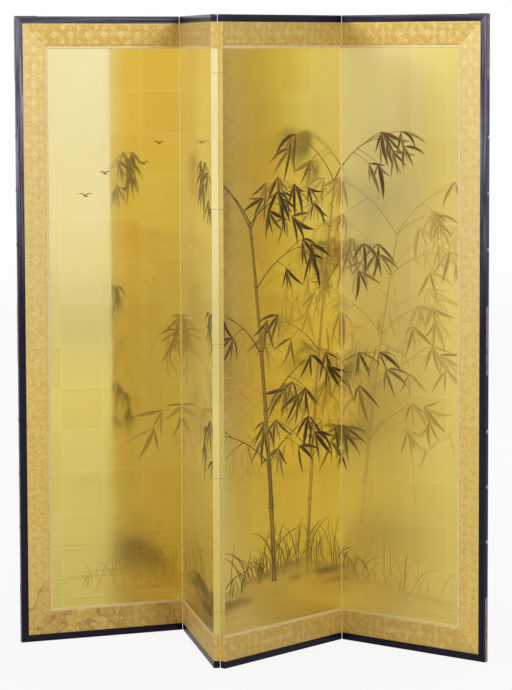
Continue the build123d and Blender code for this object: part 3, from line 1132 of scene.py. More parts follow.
@dataclass
class BambooPicture:
    """Bamboo in mist beside water: culms, branches, leaves, grasses, ripples and a few small birds."""

    panel_step: float
    height: float
    seed: int = 27
    culm_joint: float = 0.150
    joint_gap: float = 0.0022
    bare_foot: float = 0.24
    culm_hollow: float = 0.62
    twig_places: Tuple[Tuple[float, int], ...] = ((0.40, -1), (0.58, 1), (0.80, -1), (1.0, 0))
    ripple_count: int = 26
    traced: int = 80
    part_points: int = 8
    thickets: Tuple[Thicket, ...] = (
        Thicket(2.56, 0.98, 0.15, 40),
        Thicket(3.20, 0.84, 0.17, 34),
        Thicket(1.72, 0.60, 0.09, 14),
        Thicket(2.92, 0.66, 0.16, 22),
        Thicket(3.60, 0.60, 0.13, 14),
        Thicket(2.22, 0.58, 0.12, 24),
    )
    culms: Tuple[Culm, ...] = (
        Culm(1.80, 0.14, 0.0045, Tone.MIST, 0.36, 0.88, -1),
        Culm(3.56, -0.26, 0.0060, Tone.MIST, 0.30, 1.02, -1),
        Culm(1.38, 0.16, 0.0055, Tone.PALE, 0.20, 0.74, -1),
        Culm(3.10, 0.30, 0.0068, Tone.PALE, 0.24, 1.12, 1),
        Culm(2.68, 0.22, 0.0082, Tone.MIDDLE, 0.20, 1.26, 1),
        Culm(2.42, -0.20, 0.0105, Tone.DARK, 0.20, 1.16, -1),
    )
    tufts: Tuple[Tuft, ...] = (
        Tuft(0.62, 0.20, 22, Tone.PALE),
        Tuft(1.45, 0.20, 34, Tone.MIDDLE),
        Tuft(2.34, 0.22, 70, Tone.DARK),
        Tuft(2.85, 0.22, 44, Tone.MIDDLE),
        Tuft(3.45, 0.22, 30, Tone.PALE),
    )
    flock: Tuple[Tuple[float, float], ...] = (
        (0.30, 1.23), (0.245, 1.275), (0.355, 1.30), (0.19, 1.215), (0.40, 1.355),
    )
    mist_bands: Tuple[MistBand, ...] = (
        MistBand(0.76, 0.050, 0.17, 2.65, 4.10),
        MistBand(0.46, 0.035, 0.13, -0.10, 0.95),
        MistBand(1.47, 0.050, 0.11, 2.10, 3.30),
        MistBand(1.10, 0.045, 0.12, 0.75, 2.05),
        MistBand(0.50, 0.070, 0.17, 1.95, 3.30),
    )
    strokes: Strokes = field(default_factory=Strokes)

    def __post_init__(self) -> None:
        """Draws the picture once; the panels then cut their own parts out of it."""
        self.rng = np.random.default_rng(self.seed)
        for thicket in self.thickets:
            self.far_foliage(thicket)
        for culm in self.culms:
            self.culm(culm)
        for tuft in self.tufts:
            self.grass(tuft)
        self.ripples()
        self.birds()

    def start(self, number: int) -> float:
        """Where a panel's left end lies on the canvas."""
        return (number - 1) * self.panel_step

    def culm(self, culm: Culm) -> None:
        """Draws a culm joint by joint, with branches above its bare foot and a nodding tip.

        The first five joints lengthen upwards, and branches leave the joints on alternate sides, at times
        on both.

        Args:
            culm: the stem.
        """
        z, index = culm.low, 0
        while z < culm.high:
            length = self.culm_joint * (0.62 + 0.10 * min(index, 5)) * (0.94 + 0.12 * self.rng.random())
            top = min(z + length, culm.high)
            waist = self.joint(culm, z, top, index)
            if top > culm.low + self.bare_foot:
                side = 1 if index % 2 else -1
                self.branch(culm, top, side, waist, 0.17 + 0.09 * self.rng.random())
                if self.rng.random() < 0.55:
                    self.branch(culm, top, -side, waist, 0.11 + 0.07 * self.rng.random())
            z, index = top, index + 1
        self.branch(culm, culm.high, culm.nod, 0.0, length=0.22, climb=0.75)

    def joint(self, culm: Culm, low: float, high: float, index: int) -> float:
        """One waisted joint with a hooked line at its top; the lowest joints of pale culms fade into mist.

        Args:
            culm: the stem that it is part of.
            low: its lower end.
            high: its upper end.
            index: how many joints stand below it.

        Returns:
            Half its width at its waist, which tapers from the culm's foot to its tip.
        """
        share = (low - culm.low) / (culm.high - culm.low)
        wide, waist = culm.half * (1 - 0.5 * share), culm.half * (0.90 - 0.5 * share)
        x_low, x_high = self.culm_x(culm, low), self.culm_x(culm, high)
        misty = culm.tone in (Tone.MIST, Tone.PALE)
        ink = culm.tone.value * (min(0.35 + 0.30 * index, 1.0) if misty else 1.0)
        bow = self.rng.normal(0, 0.0012)
        self.strokes.add(
            (x_low, low + self.joint_gap),
            ((x_low + x_high) / 2 + bow, (low + high) / 2),
            (x_high, high - self.joint_gap),
            (wide * 1.08, waist, waist, wide * 1.04),
            ink * (0.76 + 0.14 * self.rng.random()),
            self.culm_hollow,
        )
        hook = wide * 1.3
        self.strokes.add(
            (x_high - hook, high + 0.0025), (x_high, high - 0.003), (x_high + hook, high + 0.0025),
            (0.0007, 0.0018, 0.0018, 0.0007), ink * 1.1,
        )
        return waist

    def culm_x(self, culm: Culm, z: float) -> float:
        """Where a culm stands at a height: it leans more towards its top."""
        return culm.foot * self.panel_step + culm.lean * (z / self.height) ** 1.7 * 0.9

    def branch(
        self, culm: Culm, z: float, side: int, aside: float, length: float, climb: float = 0.0
    ) -> None:
        """A thin branch that rises from a joint and droops, with leaves at its end and on twigs on the way.

        Args:
            culm: the stem that it grows from.
            z: the joint's height.
            side: 1 to the right, -1 to the left.
            aside: how far from the stem's middle it starts.
            length: how far it reaches sideways.
            climb: how high it rises for its length, or 0 for a chance height.
        """
        rise = length * (climb or 0.45 + 0.45 * self.rng.random())
        start = np.array([self.culm_x(culm, z) + side * aside, z])
        tip = start + (side * length, rise * 0.80)
        bend = start + (side * length * 0.40, rise * 0.78)
        ink = culm.tone.value * 0.9
        self.strokes.add(start, bend, tip, (0.0020, 0.0014, 0.0010, 0.0006), ink)
        for share, way in self.twig_places:
            at = bent(start, bend, tip, share)
            twig = abs(way) * length * (0.16 + 0.20 * self.rng.random())
            end = at + (side * twig, way * twig * 0.55)
            if way:
                middle = (at + end) / 2 + (0.0, 0.12 * twig)
                self.strokes.add(at, middle, end, (0.0012, 0.0009, 0.0007, 0.0005), ink)
            self.leaves(end, side, culm.tone, 3 + int(self.rng.random() * 3))

    def leaves(self, stalk: Grid, side: int, tone: Tone, count: int) -> None:
        """A spray of narrow leaves that hang from one point, the outer ones shorter.

        Args:
            stalk: that point.
            side: the way that the spray leans, 1 or -1.
            tone: how dark its ink is.
            count: how many leaves it has.
        """
        lead = math.radians(-90 + side * 22) + self.rng.normal(0, 0.24)
        for k in range(count):
            share = (k + 0.5) / count - 0.5
            angle = lead + math.radians(112) * share + self.rng.normal(0, 0.10)
            self.leaf(stalk, angle, (0.058 + 0.050 * self.rng.random()) * (1 - 0.45 * abs(share)), tone)

    def leaf(self, stalk: Grid, angle: float, length: float, tone: Tone) -> None:
        """One leaf: a stroke that swells fast and runs out to a point.

        Args:
            stalk: where it starts.
            angle: its way, in radians from level.
            length: from stalk to tip.
            tone: how dark its ink is.
        """
        half = length * (0.062 + 0.026 * self.rng.random())
        across, up = math.cos(angle), math.sin(angle)
        tip = stalk + (length * across, length * up)
        curl = self.rng.normal(0, 0.10) * length
        middle = (stalk + tip) / 2 + (-curl * up, curl * across) + (0.0, 0.05 * length)
        ink = tone.value * (0.74 + 0.42 * self.rng.random())
        self.strokes.add(stalk, middle, tip, (half * 0.18, half, half * 0.74, 0.0002), ink)

    def far_foliage(self, thicket: Thicket) -> None:
        """A cloud of leaves seen through mist, thickest in its middle.

        Args:
            thicket: where it is.
        """
        for _ in range(thicket.leaves):
            x = thicket.middle * self.panel_step + self.rng.normal(0, thicket.reach * 0.5)
            z = thicket.height + self.rng.normal(0, thicket.reach * 0.3)
            angle = math.radians(-90) + self.rng.normal(0, 0.62)
            tone = Tone.PALE if self.rng.random() < 0.35 else Tone.MIST
            self.leaf(np.array([x, z]), angle, 0.040 + 0.050 * self.rng.random(), tone)

    def grass(self, tuft: Tuft) -> None:
        """Blades that spring from the bank, the leaning ones bent over.

        Args:
            tuft: where they stand.
        """
        for _ in range(tuft.blades):
            x = tuft.middle * self.panel_step + self.rng.normal(0, tuft.spread * 0.45)
            z = float(self.bank(np.array(x))) - 0.030 * self.rng.random()
            length = 0.04 + 0.11 * self.rng.random() ** 1.5
            lean = self.rng.normal(0, 0.5)
            middle = (x + lean * length * 0.25, z + length * 0.75)
            end = (x + lean * length, z + length * (1.0 - 0.28 * abs(lean)))
            ink = tuft.tone.value * (0.60 + 0.40 * self.rng.random())
            self.strokes.add((x, z), middle, end, (0.0009, 0.0018, 0.0013, 0.0002), ink)

    def ripples(self) -> None:
        """Short level lines on the water in front of the bank."""
        for _ in range(self.ripple_count):
            x = self.panel_step * (0.15 + 1.15 * self.rng.random())
            z = 0.30 - 0.20 * self.rng.random() ** 0.7
            reach = 0.03 + 0.07 * self.rng.random()
            sag = 0.003 * self.rng.normal()
            half_widths = (0.0003, 0.0011, 0.0009, 0.0003)
            self.strokes.add((x - reach, z), (x, z + sag), (x + reach, z), half_widths, Tone.MIST.value)

    def birds(self) -> None:
        """Small birds in flight, each two wings and a body."""
        for x, z in self.flock:
            span = 0.017 + 0.005 * self.rng.random()
            for side in (-1, 1):
                self.strokes.add(
                    (x, z), (x + side * span * 0.45, z + span * 0.55), (x + side * span, z + span * 0.16),
                    (0.0015, 0.0017, 0.0010, 0.0002), Tone.MIDDLE.value,
                )
            self.strokes.add(
                (x - span * 0.28, z + 0.002), (x, z - 0.0025), (x + span * 0.42, z - 0.001),
                (0.0006, 0.0019, 0.0015, 0.0003), Tone.MIDDLE.value,
            )

    def bank(self, x: Grid) -> Grid:
        """The ground's edge: an uneven line with two bell-shaped swells, the larger one under the grove.

        Args:
            x: places along the canvas.

        Returns:
            Its height at each place.
        """
        place = x / self.panel_step
        grove = 0.100 * np.exp(-(((place - 2.55) / 0.70) ** 2))
        hummock = 0.055 * np.exp(-(((place - 1.45) / 0.35) ** 2))
        return 0.135 + (grove + hummock) + 0.022 * grain(x * 9, x * 0 + 4.0, self.seed, 3)

    def washes(self, x: Grid, z: Grid) -> Grid:
        """Ink laid with a wet brush: the bank, mist between the culms, and a broad thin wash.

        The broad wash is painted shade: it darkens the second panel, more lower down, and the left of the
        third, most by its fold with the second.

        Args:
            x: places along the canvas.
            z: heights.

        Returns:
            Ink from 0 to 1 at each place.
        """
        ink = self.bank_wash(x, z)
        for band in self.mist_bands:
            ink += self.mist(band, x, z)
        place = x / self.panel_step
        # Painted shade: a thin wash over the second panel and the third panel's fold side.
        second = between(place, 0.995, 1.0) * between(place, 2.0, 1.99)
        second = second * (0.13 + 0.13 * between(z, 1.45, 0.9))
        third = between(place, 1.99, 2.0) * between(z, 0.30, 0.80)
        third = third * (0.34 * between(place, 2.60, 2.02) + 0.10 * between(place, 2.12, 2.0))
        ink += (second + third) * (0.80 + 0.40 * grain(x * 6, z * 5, self.seed + 7, 2))
        return np.clip(ink, 0.0, 1.0)

    def bank_wash(self, x: Grid, z: Grid) -> Grid:
        """The bank: a crisp edge over a wash that fades downwards, streaked, and fainter on both sides.

        Args:
            x: places along the canvas.
            z: heights.

        Returns:
            Ink at each place.
        """
        step = self.panel_step
        bank = self.bank(x)
        edge = between(z, bank + 0.004, bank - 0.006)
        fade = np.exp(-((np.clip(bank - z, 0, None) / 0.11) ** 1.3))
        reach = between(x, step * 0.9, step * 1.6) * 0.7 + 0.16
        reach = reach * (1 - 0.62 * between(x, step * 2.75, step * 3.25))
        streaks = grain(x * 7 + z * 3, z * 60, self.seed + 2, 3)
        ink = edge * fade * reach * (0.30 + 0.42 * grain(x * 16, z * 30, self.seed + 1, 4))
        return ink + edge * between(streaks, 0.52, 0.80) * 0.30 * fade * reach

    def mist(self, band: MistBand, x: Grid, z: Grid) -> Grid:
        """One band of mist: an uneven line, crisp above, that fades below it and towards its two ends.

        Args:
            band: where it lies.
            x: places along the canvas.
            z: heights.

        Returns:
            Ink at each place.
        """
        step = self.panel_step
        line = band.height + 0.05 * (grain(x * 4, x * 0 + band.height * 9, self.seed + 5, 3) - 0.5)
        body = np.exp(-((np.clip(line - z, 0, None) / (band.depth * 1.8)) ** 1.2))
        body = body * between(z, line + 0.022, line - 0.010)
        span = between(x, step * band.low, step * (band.low + 0.5))
        span = span * between(x, step * band.high, step * (band.high - 0.5))
        return band.strength * body * span * (0.50 + grain(x * 9, z * 16, self.seed + 6, 3))

    def cut(self, low: float, high: float) -> Tuple[Grid, ...]:
        """The strokes' parts between two places on the canvas.

        Args:
            low: the panel's left end on the canvas.
            high: its right end.

        Returns:
            Centres, strokes by points by 2; half widths; places along the stroke; ink; and its share in the
            middle.
        """
        ends = np.array(self.strokes.ends)
        widths = np.array(self.strokes.widths)
        tones = np.array(self.strokes.tones)
        t = np.linspace(0, 1, self.traced)
        x = self.curve(ends, np.broadcast_to(t, (len(ends), self.traced)))[..., 0]
        inside = (x > low) & (x < high)
        kept = inside.sum(1) > 2
        first = np.argmax(inside, 1)[kept]
        last = self.traced - 1 - np.argmax(inside[:, ::-1], 1)[kept]
        share = np.linspace(0, 1, self.part_points)[None]
        part = t[first][:, None] * (1 - share) + t[last][:, None] * share
        centres = self.curve(ends[kept], part)
        thirds = np.array([0.0, 1 / 3, 2 / 3, 1.0])
        half = np.stack([np.interp(p, thirds, w) for p, w in zip(part, widths[kept])])
        ink, hollow = (np.broadcast_to(tones[kept][:, k, None], part.shape) for k in (0, 1))
        return centres, half, part, ink, hollow

    @staticmethod
    def curve(ends: Grid, t: Grid) -> Grid:
        """Points at shares t of each stroke's curve."""
        return bent(*(ends[:, None, k, :] for k in range(3)), t[..., None])


# ---- Sub-assemblies ----


class Finishes:
    """The materials that several pieces share."""

    def __init__(self) -> None:
        """Builds each material once."""
        self.gold = GoldLeaf("gold_leaf").material()
        self.ink = GoldLeaf("ink_on_gold", strokes=True).material()
        self.brocade = Brocade("gold_brocade").material()
        self.silk = InnerSilk("inner_silk").material()
        self.lacquer = BlackLacquer("black_lacquer").material()
        self.metal = DarkMetal("dark_metal").material()
        self.cedar = Cedar("cedar").material()
        self.paper = PlainPaper("lining_paper").material()
        self.iron = IronNail("iron").material()


def dress(node: str, material: Material) -> None:
    """Gives a CAD node a finish in place of its plain one.

    Args:
        node: its name.
        material: the finish.
    """
    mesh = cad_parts[node].data
    mesh.materials.clear()
    mesh.materials.append(material)


@dataclass
class Part:
    """What the sub-assemblies share: the panel that they ride on, and the finishes."""

    panel: PanelFrame
    finishes: Finishes

    def ride(
        self, shape: Shape, name: str, material: Material, slot: str,
        stands_for: Optional[str] = None, smooth_angle: float = 40.0,
    ) -> bpy.types.Object:
        """Makes a piece that moves with the panel.

        Args:
            shape: the piece's mesh data.
            name: the piece's own name, after its panel's.
            material: its finish.
            slot: the record's material slot for the piece; not used.
            stands_for: the panel's CAD node that it replaces, if any.
            smooth_angle: edges sharper than this, in degrees, stay sharp.

        Returns:
            The piece.
        """
        piece = shape.piece(self.panel.node(name), smooth_angle)
        piece.data.materials.append(material)
        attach(piece, self.panel.body)
        if stands_for:
            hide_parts(self.panel.node(stands_for))
        log.info("%s: %d faces", piece.name, len(piece.data.polygons))
        return piece


@dataclass
class GoldGround(Part):
    """The gold-leafed sheet and the ink on it."""

    picture: BambooPicture
    cell: float = 6 * MM
    waviness: float = 0.16 * MM
    calm_edge: float = 30 * MM
    stroke_lift: float = 0.06 * MM
    tone_lift: float = 0.12 * MM
    hair_scale: float = 20.0

    def __post_init__(self) -> None:
        """Reads where the sheet lies, and where the panel's left end lies on the canvas."""
        self.sheet = self.panel.measure("gold_ground")
        self.offset = self.picture.start(self.panel.number)

    def relief(self, x: Grid, z: Grid) -> Grid:
        """Slight waves that bend reflections: noise some 90 mm across with finer cockling, calm at the edges.

        Args:
            x: places along the panel.
            z: heights.

        Returns:
            How far each place stands out.
        """
        canvas = x + self.offset
        slow = grain(canvas * 11, z * 8, 51, 2) - 0.5
        fine = grain(canvas * 42, z * 42, 52) - 0.5
        return self.waviness * (slow + 0.12 * fine) * between(self.sheet.inside(x, z), 0, self.calm_edge)

    def bloom(self, x: Grid, z: Grid) -> Grid:
        """A painted highlight that stands in for the lamps' reflection: streaked, high up on the screen's
        outer panels.

        Args:
            x: places along the panel.
            z: heights.

        Returns:
            How strong the painted highlight is at each place.
        """
        canvas = x + self.offset
        place = canvas / self.picture.panel_step
        left = between(place, 0.72, 0.52) * between(z, 0.55, 1.45)
        left += 0.20 * between(place, 0.68, 0.76) * between(place, 1.0, 0.99) * between(z, 0.1, 0.6)
        height = 0.20 + 0.80 * between(z, 0.60, 1.45)
        right = between(place, 2.985, 3.0) * height * (1.50 - 1.36 * between(place, 3.15, 3.7))
        right += 0.30 * between(place, 2.40, 2.95) * between(z, 1.1, 1.5) * (place < 2.99)
        streaks = grain(canvas * 9 - z * 5, z * 2.2 + canvas * 2, 61, 2)
        return np.clip((left + right) * (0.72 + 0.42 * streaks), 0, 1.4)

    @staticmethod
    def tarnish(place: Grid, z: Grid) -> Grid:
        """Painted shade: how much darker the leaf is made on the inner panels and on the last one's right
        half.

        Args:
            place: places along the canvas, in panels.
            z: heights.

        Returns:
            The share of its brightness that each place has lost.
        """
        upper = between(z, 0.80, 1.45)
        second = 0.05 * between(place, 0.99, 1.0) * between(place, 2.0, 1.99)
        third = between(place, 1.99, 2.0) * between(place, 3.0, 2.99)
        third = third * (0.05 + 0.05 * between(place, 2.9, 2.1) + upper * 0.06)
        fourth = between(place, 3.22, 3.60) * (0.03 + 0.13 * between(z, 0.5, 1.3))
        fourth += 0.16 * between(place, 3.25, 3.75) * between(z, 1.05, 1.50)
        return second + third + fourth

    def age(self, x: Grid, z: Grid) -> Grids:
        """The leaf's dullness and its painted light. Handling has dulled it near the floor and on the right
        half.

        Args:
            x: places along the panel.
            z: heights.

        Returns:
            Painted highlight, dullness and painted shade at each place.
        """
        place = (x + self.offset) / self.picture.panel_step
        right = 0.25 * between(place, 1.99, 2.0) + 0.70 * between(place, 2.985, 3.0)
        dull = np.clip(right + 0.55 * between(z, 0.75, 0.12), 0, 1)
        return {"bloom": self.bloom(x, z), "dull": dull, "tarnish": self.tarnish(place, z)}

    def bake_map(self, x: Grid, z: Grid) -> Grid:
        """A flat map of the sheet, scaled so that its larger side spans 1."""
        low, size = (self.sheet.x[0], self.sheet.z[0]), max(self.sheet.width, self.sheet.height)
        return np.stack([x - low[0], z - low[1]], -1) / size

    def build(self) -> None:
        """Makes the sheet and the strokes."""
        sheet = self.sheet
        columns, rows = (int(size / self.cell) + 1 for size in (sheet.width, sheet.height))
        x, z = np.meshgrid(np.linspace(*sheet.x, columns), np.linspace(*sheet.z, rows))
        front = self.panel.place(x, sheet.out[1] + self.relief(x, z), z)
        back = front - self.panel.front * sheet.depth
        maps = {"panel": np.stack([x + self.offset, z], -1), "OFBake": self.bake_map(x, z)}
        values = {"ink": self.picture.washes(x + self.offset, z), **self.age(x, z)}
        shape = backed_sheet(front, back, maps, values)
        self.ride(shape, "gold_sheet", self.finishes.gold, "gold_leaf", "gold_ground")
        self.ink_strokes()

    def ink_strokes(self) -> None:
        """Each stroke is a thin closed ribbon, flat on top, whose ink thins at its edges and in its middle.

        A ribbon's section has five points across its top and two below its edges. Each has its place
        across in half widths, its lift, its load of ink and its share of a hollow stroke's middle.
        """
        across = np.array([-1.0, -0.66, 0.0, 0.66, 1.0, 1.0, -1.0])
        lift = np.array([0.0, 0.0, 0.0, 0.0, 0.0, -1.0, -1.0]) * self.stroke_lift
        load = np.array([0.30, 1.0, 0.0, 0.92, 0.24, 0.2, 0.2])
        middle = np.array([0.0, 0.0, 1.0, 0.0, 0.0, 0.0, 0.0])
        low, high = self.sheet.x
        centres, *drawn = self.picture.cut(low + self.offset, high + self.offset)
        half, part, tone, hollow = (grid[:, :, None] for grid in drawn)
        way = np.gradient(centres, axis=1)
        way /= np.linalg.norm(way, axis=-1, keepdims=True) + 1e-12
        side = np.stack([-way[..., 1], way[..., 0]], -1)
        places = centres[:, :, None] + side[:, :, None] * (half * across)[..., None]
        x = np.clip(places[..., 0] - self.offset, low, high)
        z = np.clip(places[..., 1], *self.sheet.z)
        top = self.sheet.out[1] + 2 * self.stroke_lift + self.tone_lift * tone
        points = self.panel.place(x, top + self.relief(x, z) + lift, z)
        count, length, size = points.shape[:3]
        starts = (np.arange(count) * length * size)[:, None, None]
        walls = grid_faces(length, size, closed=True) + starts
        ends = end_caps(length, size) + starts
        maps = {
            "panel": np.stack([x + self.offset, z], -1),
            "stroke": np.stack([half * across * self.hair_scale, part + 0 * across], -1),
            "OFBake": self.bake_map(x, z),
        }
        values = {"ink": tone * (load + middle * hollow), **self.age(x, z)}
        shape = Shape.of(points, [walls.reshape(-1, 4), ends.reshape(-1, size)], maps, values)
        self.ride(shape, "ink_strokes", self.finishes.ink, "gold_leaf")


@dataclass
class Borders(Part):
    """The brocade border and the narrow silk strip inside it."""

    cell: float = 6 * MM
    edge_rows: Tuple[float, ...] = (0.0, 0.4 * MM, 1.0 * MM)
    edge_rounding: float = 0.9 * MM
    edge_thickness: float = 0.55

    def strip(self, corners: Grid, out: Tuple[float, float], turned: float) -> Shape:
        """A strip between four (x, z) corners, its long edges rounded over.

        Rows of points run from its outer edge to its inner one, closer together along both edges.

        Args:
            corners: outer start, outer end, inner end, inner start.
            out: how far the strip's back and front stand out of the panel's middle.
            turned: 1 where the strip's cloth is turned across its weave, else 0; these strips get painted
                sheen.

        Returns:
            The closed strip.
        """
        length = np.linalg.norm(corners[1] - corners[0])
        width = np.linalg.norm(corners[3] - corners[0])
        way = (corners[1] - corners[0]) / length
        slant = corners[3] - corners[0]
        straight = abs(way[0] * slant[1] - way[1] * slant[0])
        s = np.linspace(0, 1, int(length / self.cell) + 2)[:, None]
        edge = np.array(self.edge_rows) / straight
        inner = np.linspace(edge[-1], 1 - edge[-1], max(int(width / self.cell), 3))
        t = np.concatenate([edge[:-1], inner, 1 - edge[:-1][::-1]])[None, :]
        outer = corners[0] + (corners[1] - corners[0]) * s[..., None]
        inside = corners[3] + (corners[2] - corners[3]) * s[..., None]
        place = outer * (1 - t[..., None]) + inside * t[..., None]
        x, z = place[..., 0], place[..., 1]
        border = np.minimum(t, 1 - t) * straight * np.ones_like(s)
        rounded = between(border, 0, self.edge_rounding)
        height = (out[1] - out[0]) * (self.edge_thickness + (1 - self.edge_thickness) * rounded)
        weave = np.stack([(place - corners[0]) @ way, t * straight * np.ones_like(s)], -1)
        # Painted sheen on the turned strips, stronger towards the top.
        lit = turned * (0.5 + 0.5 * between(z, 0.45, 1.25))
        values = {"turned": lit, "stained": self.stained(x, z)}
        front, back = self.panel.place(x, out[0] + height, z), self.panel.place(x, out[0], z)
        return backed_sheet(front, back, {"weave": weave}, values)

    def stained(self, x: Grid, z: Grid) -> Grid:
        """Where water once crept up into the first two panels' cloth: at its foot, by the side and the fold.

        Args:
            x: places along the panel.
            z: heights.

        Returns:
            The stain, from 0 to 1.
        """
        if self.panel.number > 2:
            return 0 * x
        by_fold = between(x, 0.36, 0.42) if self.panel.first else between(x, 0.10, 0.05)
        by_side = between(x, 0.34, 0.24) * self.panel.first
        return np.clip(by_fold + by_side, 0, 1) * between(z, 0.17, 0.145)

    def frame_strips(self, node: str, width: float) -> List[Shape]:
        """Makes the strips along a border's top and bottom, and down the screen's outer side.

        Args:
            node: the border's CAD node.
            width: the strips' width.

        Returns:
            The mitred strips.
        """
        extent = self.panel.measure(node)
        (x0, x1), (z0, z1) = extent.x, extent.z
        left, right = width * self.panel.first, width * self.panel.last
        rows = [
            [(x1, z1), (x0, z1), (x0 + left, z1 - width), (x1 - right, z1 - width)],
            [(x0, z0), (x1, z0), (x1 - right, z0 + width), (x0 + left, z0 + width)],
        ]
        if left:
            rows.append([(x0, z1), (x0, z0), (x0 + width, z0 + width), (x0 + width, z1 - width)])
        if right:
            rows.append([(x1, z0), (x1, z1), (x1 - width, z1 - width), (x1 - width, z0 + width)])
        return [self.strip(np.array(row), extent.out, float(k > 1)) for k, row in enumerate(rows)]

    def build(self) -> None:
        """Makes both borders."""
        brocade = self.panel.measure("brocade_border")
        silk = self.panel.measure("inner_border")
        gold = self.panel.measure("gold_ground")
        wide, narrow = silk.z[0] - brocade.z[0], gold.z[0] - silk.z[0]
        strips = self.frame_strips("brocade_border", wide)
        piece = self.ride(joined(strips), "brocade", self.finishes.brocade, "brocade", "brocade_border")
        self.panel.node("paper_linings")
        silk_strips = joined(self.frame_strips("inner_border", narrow))
        self.ride(silk_strips, "inner_silk", self.finishes.silk, "inner_border_silk", "inner_border")


@dataclass
class Mouldings(Part):
    """The lacquered mouldings round a panel."""

    step: float = 30 * MM
    unevenness: float = 0.06 * MM
    fold_reach: float = 0.95 * MM
    crown: float = 0.5 * MM
    corner: float = 1.6 * MM
    end_length: float = 1.2 * MM
    end_rings: Tuple[float, ...] = (0.0, 0.3 * MM, 0.7 * MM)
    end_insets: Tuple[float, ...] = (0.20 * MM, 0.06 * MM, 0.01 * MM)
    dust: Tuple[float, float] = (1.2 * MM, 0.2 * MM)

    def section(self, half: float, height: float) -> Grid:
        """A moulding's section: faces that swell by the crown in a parabola, and rounded outer corners.

        Args:
            half: half its depth where it swells most.
            height: from the core to the outer side.

        Returns:
            Points (depth, height, edge wear) round the section.
        """
        rise = np.linspace(0, height - self.corner, 9)
        swell = (half - self.crown) + self.crown * (1 - (rise / height * 2 - 1) ** 2)
        turn = np.linspace(0, math.pi / 2, 6)[1:]
        round_d = swell[-1] - self.corner + self.corner * np.cos(turn)
        round_h = height - self.corner + self.corner * np.sin(turn)
        side = np.concatenate([np.stack([swell, rise], 1), np.stack([round_d, round_h], 1)])
        wear = np.concatenate([np.zeros(8), [0.4, 0.8, 1.0, 1.0, 0.8, 0.35]])
        right = np.column_stack([side, wear])
        left = right[::-1] * np.array([-1.0, 1.0, 1.0])
        return np.concatenate([right, left])

    def bar(self, low: float, high: float, mitre_low: bool, mitre_high: bool, seed: int) -> Tuple[Grid, ...]:
        """One bar along its own length, slightly uneven, with the edges of its plain ends eased.

        Args:
            low: where it starts.
            high: where it ends.
            mitre_low: whether its start is mitred.
            mitre_high: whether its end is mitred.
            seed: picks its unevenness.

        Returns:
            Each point's length, height, depth, edge wear and place round the section.
        """
        extent = self.panel.measure("top_moulding")
        height, half, length = extent.height, extent.depth / 2, high - low
        profile = self.section(half, height)
        middle = np.linspace(self.end_length, length - self.end_length, max(int(length / self.step), 2))
        plain = np.array(self.end_rings)
        start, end = (plain[:1] if mitred else plain for mitred in (mitre_low, mitre_high))
        s = np.concatenate([start, middle, length - end[::-1]])
        inset = np.zeros(len(s))
        if not mitre_low:
            inset[: len(plain)] = self.end_insets
        if not mitre_high:
            inset[-len(plain):] = self.end_insets[::-1]
        depth = profile[None, :, 0] * (1 - inset[:, None] / half)
        rise = height / 2 + (profile[None, :, 1] - height / 2) * (1 - inset[:, None] / (height / 2))
        wobble = (grain(s[:, None] * 14, profile[None, :, 0] * 60, seed, 2) - 0.5) * self.unevenness
        depth = depth + wobble * np.sign(depth)
        share = np.clip(s / length, 0, 1)[:, None]
        mitres = (height - rise) * (mitre_low * (1 - share) - mitre_high * share)
        girth = np.concatenate([[0], np.cumsum(np.hypot(*np.diff(profile[:, :2], axis=0).T))])
        bar = (low + s[:, None] + mitres, rise, depth, profile[None, :, 2], girth[None])
        return tuple(np.broadcast_arrays(*bar))

    def lacquered(self, name: str, points: Grid, faded: Grid, bar: Tuple[Grid, ...]) -> None:
        """Makes a moulding, with dust on the screen's top.

        Args:
            name: its CAD node.
            points: its places.
            faded: how strong its painted sheen is.
            bar: what bar() gave.
        """
        along, rise, _, wear, girth = bar
        brush = np.stack([along + self.panel.number, girth], -1)
        top = rise.max()
        dusty = between(rise, *(top - depth for depth in self.dust)) * (name == "top_moulding")
        shape = loft(points, {"brush": brush}, {"edge": wear, "faded": faded, "dusty": dusty})
        self.ride(shape, f"lacquered_{name}", self.finishes.lacquer, "black_lacquer", name, 60.0)

    def build(self) -> None:
        """Makes the top, bottom and outer mouldings."""
        top = self.panel.measure("top_moulding")
        left, right = self.panel.first, self.panel.last
        low, high = top.x[0] - self.fold_reach * (not left), top.x[1] + self.fold_reach * (not right)
        # Painted sheen on the top mouldings: most on the first panel, less on the last, a trace between.
        upper_sheen = 0.62 if left else 0.25 if right else 0.05
        for name, lacquer_sheen, seed in (("top_moulding", upper_sheen, 3), ("bottom_moulding", 0.0, 4)):
            bar = self.bar(low, high, left, right, seed + self.panel.number * 7)
            z = top.z[0] + bar[1] if name == "top_moulding" else top.height - bar[1]
            self.lacquered(name, self.panel.place(bar[0], bar[2], z), np.full(bar[0].shape, lacquer_sheen), bar)
        if left or right:
            side = self.panel.measure("outer_moulding")
            bar = self.bar(side.z[0], side.z[1], True, True, 11 + self.panel.number)
            x = side.x[0] + top.height - bar[1] if left else side.x[1] - top.height + bar[1]
            # Painted sheen on the outer moulding: high up, and mostly on its front half.
            front = between(bar[2], 0.0, 0.45 * side.depth)
            lacquer_sheen = (1.45 if left else 1.15) * between(bar[0], 0.85, 1.50) * (0.15 + 0.85 * front)
            self.lacquered("outer_moulding", self.panel.place(x, bar[2], bar[0]), lacquer_sheen, bar)


